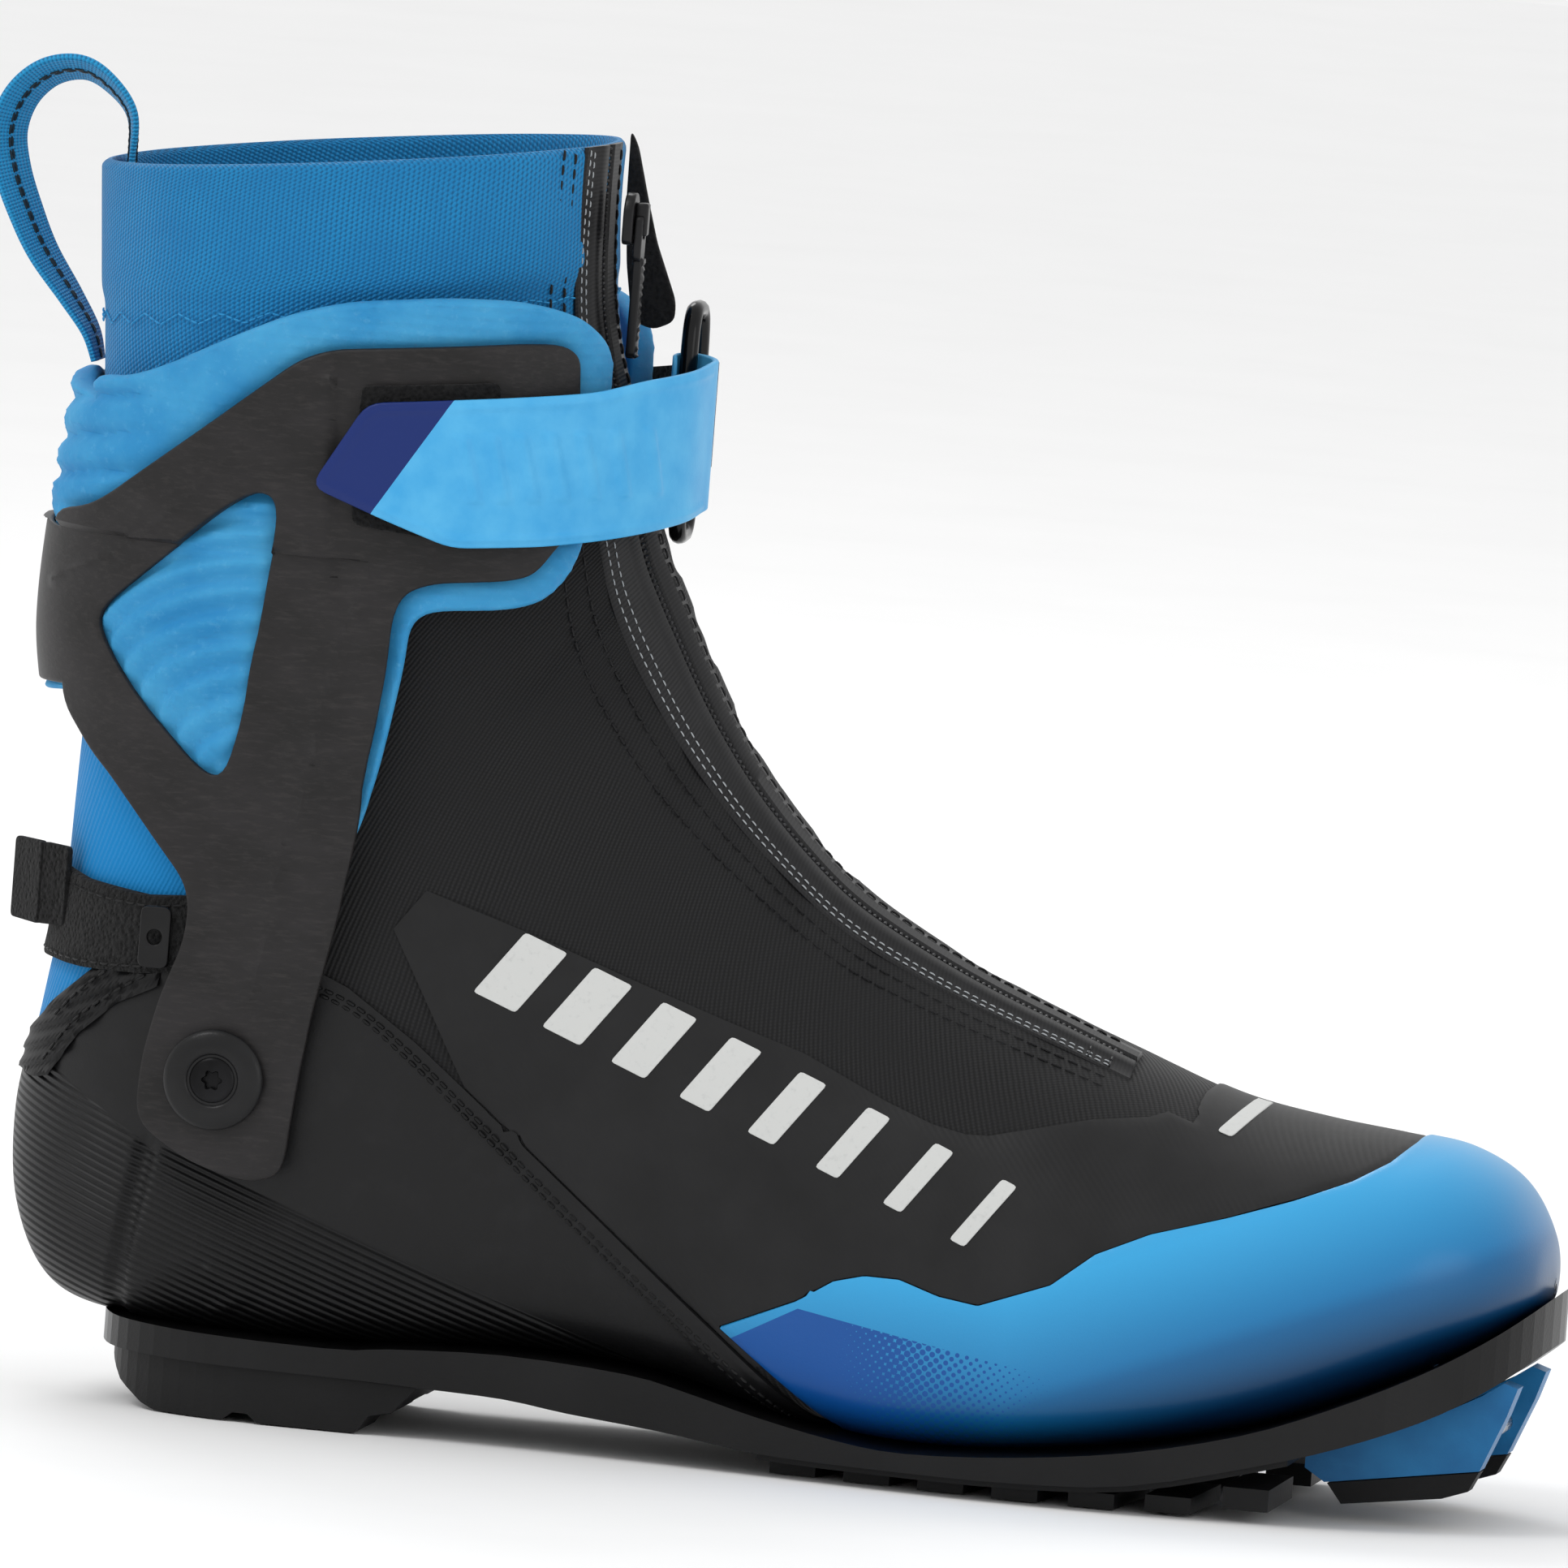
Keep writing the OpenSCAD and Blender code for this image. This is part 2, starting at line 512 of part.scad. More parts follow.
// Frame on the straight upper stretch of the zip: x out of the boot, z up the zip.
module on_zip() {
    translate([-39.4, ZIP_Y, SLIDER_Z]) children();
}
module zip_slider() color("#1c1c1e") on_zip() difference() {
    union() {
        translate([2.8, -4, -5]) cube([2, 8, 10]);
        translate([4.7, -1.5, -3]) cube([2.6, 3, 6]);
    }
    translate([5.8, 5, 0]) rotate([90, 0, 0]) cylinder(h = 10, r = 1.1);
}
module zip_puller() color("#161618") on_zip() {
    translate([5.8, 2.7, 0]) rotate([90, 0, 0]) cylinder(h = 5.4, r = 0.8);
    for (y = [-2.7, 1.7]) translate([5, y, -5]) cube([1.6, 1, 5.8]);
    translate([5, -2.7, -7]) cube([1.6, 5.4, 2.1]);
    translate([5, -2, -27]) cube([1.8, 4, 20.1]);
}
module zip_flap() color("#151517") side([
    [-39.3, 254], [-37.6, 251], [-34.8, 240.5], [-32.5, 232.5], [-28, 221.5], [-28, 217.5], [-32, 215.6],
    [-36.4, 217], [-38.2, 228], [-39.2, 241],
], 4.2, 5.8);

// --- heel strap ---
module heel_strap() color("#19191b") shell_part(2.15, 3.4) side(HEEL_STRAP_EDGE);
TAB_HINGE = [-140.5, -15];
module heel_strap_tab() color("#131315") translate([TAB_HINGE[0], TAB_HINGE[1], 91]) {
    rotate([0, 0, 127]) translate([0, -0.7, 0]) cube([15, 1.4, 17]);
    cylinder(h = 17, r = 1);
}
module strap_keepers() color("#111113") for (m = [-1, 1]) translate([-113.5, m * 37.4, 93]) difference() {
    translate([-3, -0.6, -6]) cube([6, 1.2, 12]);
    rotate([90, 0, 0]) cylinder(h = 4, r = 1.5, center = true);
}

// --- cuff ---
PIVOT_Y = 39.3;         // inner face of the frame at the pivots
module at_pivots(r, y0, y1) for (m = [-1, 1])
    translate([PIVOT[0], m > 0 ? y1 : -y0, PIVOT[1]]) rotate([90, 0, 0]) cylinder(h = y1 - y0, r = r);
module cuff_frame() color("#3a3838") meshed() difference() {
    intersection() {
        cuff_shell(0, frame_t);
        side(FRAME_EDGE);
    }
    side(FRAME_WINDOW);
    rotate([90, 0, 0]) translate([PIVOT[0], PIVOT[1], -80]) cylinder(h = 160, r = pivot_r + 3.1);
}
module cuff_pad() color("#4fa6d3") meshed() intersection() {
    cuff_shell(-0.3 - pad_t, -0.3);
    side(PAD_EDGE);
}
module hook_patch() color("#161618") meshed() intersection() {
    cuff_shell(frame_t + 0.1, frame_t + 0.9);
    side([[-80, 177], [-80, 201], [-55, 204], [-55, 178]], -80, 0);
}
module pivot_bushings() color("#2a2a2c") difference() {
    at_pivots(pivot_r + 3, PIVOT_Y - 0.3, PIVOT_Y + frame_t + 0.3);
    at_pivots(pivot_r + 0.1, PIVOT_Y - 1, PIVOT_Y + frame_t + 1);
}
module pivot_spacers() color("#2a2a2c") difference() {
    at_pivots(pivot_r + 4, 37.5, PIVOT_Y - 0.6);
    at_pivots(pivot_r + 0.1, 30, 50);
}
module pivot_screws() color("#1e1e20") difference() {
    union() {
        at_pivots(pivot_r, 29, PIVOT_Y + frame_t + 2);
        at_pivots(pivot_r + 1.4, PIVOT_Y + frame_t + 1.9, PIVOT_Y + frame_t + 3);
    }
    at_pivots(1.6, PIVOT_Y + frame_t + 1, 60);
}
module pivot_washers() color("#242426") difference() {
    at_pivots(cap_r, PIVOT_Y + frame_t + 0.6, PIVOT_Y + frame_t + 1.8);
    at_pivots(pivot_r + 0.1, 30, 60);
}
module pivot_nuts() color("silver") difference() {
    at_pivots(NUT_R, 29.2, 31.2);
    at_pivots(pivot_r + 0.05, 20, 60);
}

// --- closing strap ---
// Plan of a band at distance d outside the strap's own line, from its end near the fold back along the side.
STRAP_LINE = [
    [-19.4, -5], [-21.5, -15.5], [-28.5, -27.5], [-39.5, -37.5], [-52, -43.8], [-66, -47.2], [-80, -48.4],
    [-92, -48.6],
];
BAND_Z = [168, 222];    // heights that the band's upright solid spans before its outline is cut
module band(d0, d1) {
    line = open_curve(STRAP_LINE, 4);
    m = len(line) - 1;
    normals = [for (i = [0 : m]) let(t = line[min(i + 1, m)] - line[max(i - 1, 0)]) [t[1], -t[0]] / norm(t)];
    near = [for (i = [m : -1 : 0]) line[i] - normals[i] * d0];
    far = [for (i = [0 : m]) line[i] - normals[i] * d1];
    translate([0, 0, BAND_Z[0]]) linear_extrude(BAND_Z[1] - BAND_Z[0]) polygon(concat(far, near));
}
module strap_base() color("#17171a") intersection() {
    band(-1.2, -0.3);
    side([[-54, 181], [-54, 201], [-44, 203], [-25, 207], [-25, 184], [-44, 179.5]]);
}
module cuff_strap() color("#5bb8e6") intersection() {
    union() {
        band(0, strap_t);
        translate([FOLD[0], FOLD[1], BAND_Z[0]]) difference() {
            linear_extrude(BAND_Z[1] - BAND_Z[0]) polygon([
                [4.2, -10], [6.3, -9], [6.5, -4], [4.6, 0.5], [3.4, 3], [0.5, 3.4], [-2.1, 2.6], [-2.6, 0],
                [-2.1, -2.3], [3, -4],
            ]);
            translate([0, 0, -1]) cylinder(h = 60, r = RING_R + 0.3);
        }
    }
    side(STRAP_EDGE);
}
RING_R = 1.8;           // radius of the ring's rod
RING_Z = [176, 220];    // heights of its lower and upper rods
RING_W = 13;            // distance between its two upright rods
module strap_ring() color("#0c0c0e") translate([FOLD[0], FOLD[1], 0]) {
    for (y = [0, RING_W]) {
        translate([0, y, RING_Z[0]]) cylinder(h = RING_Z[1] - RING_Z[0], r = RING_R);
        for (z = RING_Z) translate([0, y, z]) sphere(r = RING_R);
    }
    for (z = RING_Z) translate([0, 0, z]) rotate([-90, 0, 0]) cylinder(h = RING_W, r = RING_R);
}
module ring_holder() color("#17171a") difference() {
    intersection() {
        translate([0, 0, 187.5]) linear_extrude(28) polygon([
            [-28, 14], [-26.5, 12.2], [-22, 12.6], [-20.5, 18], [-23.5, 24.5], [-30.5, 32.5],
            [-40, 40], [-52, 46],
            [-64, 48.5], [-64, 46.9], [-53, 44.4], [-41, 38.4], [-32, 31.4], [-26.5, 24],
        ]);
        side([[-70, 182], [-70, 202], [-40, 207], [-10, 216], [-10, 188], [-40, 182]]);
    }
    translate([FOLD[0], FOLD[1] + RING_W, 170]) cylinder(h = 60, r = RING_R + 0.3);
}

sole_chassis();
heel_pad();
forefoot_tread();
toe_block();
toe_wear_pad();
toe_bar();
lasting_board();
insole();
softshell_foot();
softshell_ankle();
softshell_shaft();
bootie_foot();
bootie_ankle();
bootie_shaft();
tongue();
lace();
lace_lock();
heel_counter();
heel_binding();
forefoot_film();
toe_guard();
knit_collar();
pull_loop();
zip_tape_foot();
zip_coil_foot();
zip_ankle();
zip_tape();
zip_coil();
zip_slider();
zip_puller();
zip_flap();
heel_strap();
heel_strap_tab();
strap_keepers();
cuff_frame();
cuff_pad();
hook_patch();
strap_base();
cuff_strap();
strap_ring();
ring_holder();
pivot_bushings();
pivot_spacers();
pivot_screws();
pivot_washers();
pivot_nuts();
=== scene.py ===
"""Looks of a cross country skate boot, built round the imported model. All lengths below are millimetres in the
boot's own frame until a mesh is made, where they become metres."""

import math

import bmesh
import bpy
import mathutils
import numpy as np
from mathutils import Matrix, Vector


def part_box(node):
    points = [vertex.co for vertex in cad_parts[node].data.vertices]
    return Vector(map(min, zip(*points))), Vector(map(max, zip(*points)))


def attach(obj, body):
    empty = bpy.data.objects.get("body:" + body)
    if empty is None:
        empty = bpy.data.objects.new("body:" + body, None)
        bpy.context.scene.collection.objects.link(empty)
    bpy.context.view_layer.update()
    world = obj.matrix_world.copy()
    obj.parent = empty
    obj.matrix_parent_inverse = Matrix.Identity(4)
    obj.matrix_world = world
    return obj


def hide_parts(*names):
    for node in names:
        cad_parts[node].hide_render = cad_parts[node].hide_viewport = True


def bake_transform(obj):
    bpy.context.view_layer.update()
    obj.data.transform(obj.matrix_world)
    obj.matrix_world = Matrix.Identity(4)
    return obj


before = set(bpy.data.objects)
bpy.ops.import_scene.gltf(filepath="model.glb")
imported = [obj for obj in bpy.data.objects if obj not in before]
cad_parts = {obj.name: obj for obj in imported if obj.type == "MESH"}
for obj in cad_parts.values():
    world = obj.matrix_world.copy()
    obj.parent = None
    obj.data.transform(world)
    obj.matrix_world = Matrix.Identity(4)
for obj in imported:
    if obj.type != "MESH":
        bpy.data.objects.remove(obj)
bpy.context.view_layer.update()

bl_info = {
    "name": "Cross country skate boot",
    "version": (1, 0, 0),
    "blender": (4, 5, 0),
    "location": "3D view > Sidebar > Boot",
    "description": "Builds the soft upper, cuff, straps and sole of a ski boot round its packed frame",
    "category": "Object",
}

MM = 0.001

# --------------------------------------------------------------------------------------------------------
# The foot form and the cuff: the same two surfaces as the part's source, as whole-array functions
# --------------------------------------------------------------------------------------------------------

# One row per section: x and z of the front or top point, x and z of the back or bottom point, half width
# outside, half width inside, y of the ridge, place of the widest point, roundness above, roundness below.
LAST = np.array([
    [159, 46.5, 159, 45.5, 0.5, 0.5, 4, 0.45, 2, 2],
    [157, 56, 157, 42.6, 16, 15, 4, 0.45, 2, 2.4],
    [150.5, 65.5, 150.5, 37.6, 28, 27, 4, 0.42, 2.1, 2.8],
    [140, 71, 140, 31.4, 36.5, 34, 4, 0.4, 2.1, 3],
    [127, 72.8, 127, 25, 42, 39, 3.5, 0.36, 2.1, 3.2],
    [112, 74.5, 113, 19.2, 45.5, 42.5, 3, 0.34, 2.1, 3.6],
    [96, 77.5, 98, 15.1, 47, 45, 2, 0.32, 2, 4],
    [80, 83, 82, 11.7, 47.5, 46.5, 1, 0.3, 2, 4],
    [63, 89.5, 65, 9.4, 47, 46, 0, 0.28, 2, 4],
    [46, 96.5, 48, 8, 45, 43, 0, 0.27, 2, 4],
    [31, 104, 30, 8.5, 42.5, 39.5, 0, 0.26, 2, 4],
    [18, 112, 10, 12.3, 40, 36.5, 0, 0.28, 2, 4],
    [7, 122, -12, 17.3, 38.5, 35, 0, 0.3, 2, 3.8],
    [-2, 132.5, -36, 18.8, 37, 34.5, 0, 0.33, 2, 3.6],
    [-9, 143, -62, 17.3, 36.2, 34.5, 0, 0.36, 2, 3.6],
    [-14, 152, -90, 16.4, 35.8, 35, 0, 0.4, 2, 3.6],
    [-18, 160, -116, 17.4, 36, 35.5, 0, 0.43, 2, 3],
    [-21.5, 167, -133, 22, 36, 36, 0, 0.45, 2, 2.5],
    [-25, 174, -141.5, 36, 36, 36, 0, 0.47, 2, 2.3],
    [-27.5, 181, -143.5, 55, 36, 36, 0, 0.48, 2, 2.1],
    [-30, 188, -140.5, 75, 36, 36, 0, 0.5, 2, 2.1],
    [-32, 195, -138, 94, 36, 36, 0, 0.5, 2.1, 2.1],
    [-34, 203, -137, 115, 36.2, 36.2, 0, 0.5, 2.1, 2.1],
    [-36.5, 211, -136.5, 137, 36.7, 36.7, 0, 0.5, 2.1, 2.1],
    [-38.5, 220, -136.5, 160, 37.3, 37.3, 0, 0.5, 2.1, 2.1],
    [-39.5, 229, -137, 183, 38, 38, 0, 0.5, 2.1, 2.1],
    [-40, 240, -138.5, 210, 39.5, 39.5, 0, 0.5, 2.1, 2.1],
    [-40, 252, -141, 240, 41, 41, 0, 0.5, 2.1, 2.1],
], float)
RIM = len(LAST) - 1

# One row per height of the cuff: z, x of the back, x of the front, half width, roundness.
CUFF = np.array([
    [40, -152, -30, 39.2, 3], [70, -151, -28, 39.3, 3], [100, -147, -22, 40, 2.8],
    [125, -142.5, -16, 41, 2.6],
    [150, -145.5, -18, 41.8, 2.5], [175, -144.5, -23, 42.6, 2.4], [200, -142, -29, 43.2, 2.4],
    [228, -141.5, -31, 44, 2.4],
], float)


def smooth_rows(rows, s):
    """Smooth curve through the rows (Catmull-Rom), read at the fractional row numbers s."""
    rows = np.asarray(rows, float)
    s = np.asarray(s, float)
    last = len(rows) - 1
    i = np.clip(np.floor(s), 0, last - 1).astype(int)
    t = (s - i)[..., None]
    a, b, c, d = rows[np.maximum(i - 1, 0)], rows[i], rows[i + 1], rows[np.minimum(i + 2, last)]
    return 0.5 * (2 * b + (c - a) * t + (2 * a - 5 * b + 4 * c - d) * t**2 + (3 * b - 3 * c + d - a) * t**3)


def curve(points, count):
    """count points along the smooth curve through the given ones, evenly spaced by length."""
    fine = smooth_rows(points, np.linspace(0, len(points) - 1, 40 * len(points)))
    length = np.r_[0, np.cumsum(np.linalg.norm(np.diff(fine, axis=0), axis=1))]
    at = np.linspace(0, length[-1], count)
    return np.stack([np.interp(at, length, fine[:, k]) for k in range(fine.shape[1])], -1)


def signed_pow(x, p):
    return np.sign(x) * np.abs(x) ** p


def form(s, v, d=0.0):
    """Foot form: the point of section s at angle v round it (0 top, positive inside) and d outward. Each
    section is a superellipse whose upper and lower halves meet at the widest point."""
    s, v, d = np.broadcast_arrays(np.asarray(s, float), v, d)
    r = smooth_rows(LAST, s)
    f, b = r[..., 0:2], r[..., 2:4]
    up = (f - b) / np.linalg.norm(f - b, axis=-1, keepdims=True)
    c = b + (f - b) * r[..., 7:8]
    top = np.cos(v) >= 0
    n = np.where(top, r[..., 8], r[..., 9])
    reach = np.where(top[..., None], f + up * d[..., None] - c, b - up * d[..., None] - c)
    q = c + reach * (np.abs(np.cos(v)) ** (2 / n))[..., None]
    w = (np.where(np.sin(v) < 0, r[..., 4], r[..., 5]) + d) * signed_pow(np.sin(v), 2 / n)
    return np.stack([q[..., 0], r[..., 6] + w, q[..., 1]], -1)


def section_of(x, z):
    """Section number whose plane holds the side-view point, by halving the range that holds it."""
    x, z = np.broadcast_arrays(np.asarray(x, float), np.asarray(z, float))
    low, high = np.zeros(x.shape), np.full(x.shape, float(RIM))
    for _ in range(30):
        mid = (low + high) / 2
        r = smooth_rows(LAST, mid)
        side = (r[..., 0] - r[..., 2]) * (z - r[..., 3]) - (r[..., 1] - r[..., 3]) * (x - r[..., 2])
        low, high = np.where(side > 0, mid, low), np.where(side > 0, high, mid)
    return (low + high) / 2


def angle_at(s, x, z):
    """Angle round section s at which the form shows the side-view point."""
    r = smooth_rows(LAST, s)
    f, b = r[..., 0:2], r[..., 2:4]
    t = ((x - b[..., 0]) * (f - b)[..., 0] + (z - b[..., 1]) * (f - b)[..., 1]) / np.sum((f - b) ** 2, -1)
    h = r[..., 7]
    above = np.clip((t - h) / (1 - h), 0, 1) ** (r[..., 8] / 2)
    below = np.clip((h - t) / h, 0, 1) ** (r[..., 9] / 2)
    return np.where(t >= h, np.arccos(above), np.pi - np.arccos(below))


def lift(x, z, side, d=0.0):
    """Point of the form seen at (x, z) from the side: side -1 outside, +1 inside of the foot."""
    s = section_of(x, z)
    return form(s, side * angle_at(s, x, z), d)


def angle_of(s, y):
    """Angle round section s at which the upper half of the form has the given y."""
    r = smooth_rows(LAST, s)
    h = y - r[..., 6]
    part = np.minimum(1, np.abs(h) / np.where(h < 0, r[..., 4], r[..., 5]))
    return np.sign(h) * np.arcsin(part ** (r[..., 8] / 2))


def cuff(z, v, d=0.0):
    """Cuff surface: the point at height z and angle v round it (0 back, positive inside), d outward."""
    z, v, d = np.broadcast_arrays(np.asarray(z, float), v, d)
    i = np.clip(np.searchsorted(CUFF[:, 0], z, side="right") - 1, 0, len(CUFF) - 2)
    r = smooth_rows(CUFF, i + (z - CUFF[i, 0]) / (CUFF[i + 1, 0] - CUFF[i, 0]))
    e = 2 / r[..., 4]
    x = (r[..., 1] + r[..., 2]) / 2 - ((r[..., 2] - r[..., 1]) / 2 + d) * signed_pow(np.cos(v), e)
    return np.stack([x, (r[..., 3] + d) * signed_pow(np.sin(v), e), z], -1)


# Arc length round the cuff at mid height against the angle, to lay flat outlines on it without stretch.
_TURN = np.linspace(0, np.pi * 0.93, 400)
_ROUND = cuff(155.0, _TURN)
_ARC = np.r_[0, np.cumsum(np.linalg.norm(np.diff(_ROUND, axis=0), axis=1))]


def on_cuff(u, z, d=0.0):
    """Point of the cuff at arc length u from the middle of the back (negative outside) and height z."""
    return cuff(z, np.sign(u) * np.interp(np.abs(u), _ARC, _TURN), d)


def cuff_u(x, z, side=-1):
    """Arc length at which the cuff shows the side-view point (x, z)."""
    x, z = np.broadcast_arrays(np.asarray(x, float), np.asarray(z, float))
    i = np.clip(np.searchsorted(CUFF[:, 0], z, side="right") - 1, 0, len(CUFF) - 2)
    r = smooth_rows(CUFF, i + (z - CUFF[i, 0]) / (CUFF[i + 1, 0] - CUFF[i, 0]))
    part = np.clip(((r[..., 1] + r[..., 2]) / 2 - x) / ((r[..., 2] - r[..., 1]) / 2), -1, 1)
    return side * np.interp(np.arccos(signed_pow(part, r[..., 4] / 2)), _TURN, _ARC)


# --------------------------------------------------------------------------------------------------------
# Meshes from arrays
# --------------------------------------------------------------------------------------------------------

def make_object(name, points, faces, corner_uv=None):
    """Mesh object from points in millimetres and quads or triangles. Doubles are merged, so the poles and
    seams close, and the faces of a closed shape are turned outward by the sign of its volume."""
    mesh = bpy.data.meshes.new(name)
    mesh.from_pydata((np.asarray(points).reshape(-1, 3) * MM).tolist(), [], [list(f) for f in faces])
    if corner_uv is not None:
        layer = mesh.uv_layers.new(name="UVMap")
        layer.data.foreach_set("uv", np.asarray(corner_uv, np.float32).ravel())
    bm = bmesh.new()
    bm.from_mesh(mesh)
    bmesh.ops.remove_doubles(bm, verts=bm.verts, dist=2e-6)
    bmesh.ops.dissolve_degenerate(bm, edges=bm.edges, dist=1e-7)
    if bm.calc_volume(signed=True) < 0:
        bmesh.ops.reverse_faces(bm, faces=bm.faces)
    for edge in bm.edges:
        edge.smooth = len(edge.link_faces) != 2 or edge.calc_face_angle(0) < math.radians(38)
    for face in bm.faces:
        face.smooth = True
    bm.to_mesh(mesh)
    bm.free()
    obj = bpy.data.objects.new(name, mesh)
    bpy.context.scene.collection.objects.link(obj)
    return obj


def quads(rows, cols, flip=False, start=0):
    """Corner numbers of the quads of a grid of points with the given rows and columns."""
    i, j = np.meshgrid(np.arange(rows - 1), np.arange(cols - 1), indexing="ij")
    a = (i * cols + j).ravel() + start
    q = np.stack([a, a + 1, a + cols + 1, a + cols], -1)
    return q[:, ::-1] if flip else q


def slab(name, outer, inner, uv):
    """Closed solid between an outer and an inner grid of points, with a uv in millimetres at each point. The
    four borders are closed with walls; a wall of no height or a seam that meets itself is merged away."""
    m, n = outer.shape[:2]
    count = m * n
    ring = np.r_[np.arange(n), np.arange(2, m) * n - 1, np.arange(m * n - 1, (m - 1) * n - 1, -1),
                 np.arange(m - 2, 0, -1) * n]
    after = np.roll(ring, -1)
    walls = np.stack([ring, ring + count, after + count, after], -1)
    seam = np.linalg.norm(outer[:, 0] - outer[:, -1], axis=-1).max() < 1e-3
    if seam:
        column = np.isin(ring % n, (0, n - 1)) & np.isin(after % n, (0, n - 1)) & (ring % n == after % n)
        walls = walls[~column]
    faces = np.vstack([quads(m, n), quads(m, n, True, count), walls])
    flat = np.vstack([uv.reshape(-1, 2)] * 2)
    return make_object(name, np.vstack([outer.reshape(-1, 3), inner.reshape(-1, 3)]), faces,
                       flat[faces.ravel()])


def arc_uv(points):
    """Millimetres along the rows and columns of a grid of points, for patterns that follow the surface."""
    across = np.linalg.norm(np.diff(points, axis=1), axis=-1)
    along = np.linalg.norm(np.diff(points, axis=0), axis=-1)
    middle = points.shape[1] // 2
    u = np.concatenate([np.zeros((len(points), 1)), np.cumsum(across, 1)], 1)
    u = u - u[:, middle:middle + 1]
    w = np.concatenate([np.zeros((1, points.shape[1])), np.cumsum(along, 0)], 0)
    return np.stack([u, np.repeat(w.mean(1)[:, None], points.shape[1], 1)], -1)


def sweep(name, path, profile, side=None, closed=False, scale=None):
    """Closed solid: a profile of (across, out) points carried along a path of points. side holds the across
    direction at each point; out is the path's own direction turned by it. The ends are closed flat."""
    path = np.asarray(path, float)
    k = len(path)
    if closed:
        tangent = np.roll(path, -1, 0) - np.roll(path, 1, 0)
    else:
        tangent = np.gradient(path, axis=0)
    tangent /= np.linalg.norm(tangent, axis=1, keepdims=True)
    side = np.tile([0.0, 1.0, 0.0], (k, 1)) if side is None else np.asarray(side, float)
    side = side - np.sum(side * tangent, 1, keepdims=True) * tangent
    side /= np.linalg.norm(side, axis=1, keepdims=True)
    out = np.cross(tangent, side)
    profile = np.asarray(profile, float)
    size = np.ones(k) if scale is None else np.asarray(scale, float)
    rings = (path[:, None] + side[:, None] * profile[None, :, :1] * size[:, None, None]
             + out[:, None] * profile[None, :, 1:] * size[:, None, None])
    m = len(profile)
    i, j = np.meshgrid(np.arange(k if closed else k - 1), np.arange(m), indexing="ij")
    a, b = (i * m + j).ravel(), (i * m + (j + 1) % m).ravel()
    faces = np.stack([a, b, (b + m) % (k * m), (a + m) % (k * m)], -1)
    length = np.r_[0, np.cumsum(np.linalg.norm(np.diff(path, axis=0), axis=1))]
    gap = np.linalg.norm(path[0] - path[-1]) if closed else 0
    girth = np.r_[0, np.cumsum(np.linalg.norm(np.diff(np.vstack([profile, profile[:1]]), axis=0), axis=1))]
    u0, u1 = girth[j.ravel()], girth[j.ravel() + 1]
    w0, w1 = length[i.ravel()], np.r_[length[1:], length[-1] + gap][i.ravel()]
    uv = np.stack([np.stack([u0, w0], -1), np.stack([u1, w0], -1), np.stack([u1, w1], -1),
                   np.stack([u0, w1], -1)], 1).reshape(-1, 2)
    points = rings.reshape(-1, 3)
    faces = [tuple(f) for f in faces]
    if not closed:
        centre = len(points)
        points = np.vstack([points, rings[0].mean(0), rings[-1].mean(0)])
        faces += [(centre, (j + 1) % m, j) for j in range(m)]
        faces += [(centre + 1, (k - 1) * m + j, (k - 1) * m + (j + 1) % m) for j in range(m)]
        uv = np.vstack([uv, np.zeros((6 * m, 2))])
    return make_object(name, points, faces, uv)


def round_profile(width, height, steps=4):
    """Flat oval: a strip of the given width and height with half-round edges."""
    r = height / 2
    turn = np.linspace(-np.pi / 2, np.pi / 2, 2 * steps + 1)
    right = np.stack([width / 2 - r + r * np.cos(turn), r * np.sin(turn)], -1)
    return np.vstack([right, right[::-1] * [-1, 1]])


def surface_frame(place, a, b, step=0.05):
    """Point and outward direction of place(a, b, d) by small differences."""
    p = place(a, b, 0.0)
    da = place(a + step, b, 0.0) - p
    db = place(a, b + step, 0.0) - p
    out = place(a, b, 1.0) - p
    normal = np.cross(da, db)
    normal *= np.sign(np.sum(normal * out, -1, keepdims=True))
    return p, normal / np.linalg.norm(normal, axis=-1, keepdims=True)


def trail(place, points, count, d=0.0):
    """count points along a curve drawn on a surface, with the surface's own direction at each."""
    flat = curve(points, count)
    p, normal = surface_frame(place, flat[:, 0], flat[:, 1])
    return p + normal * d, normal


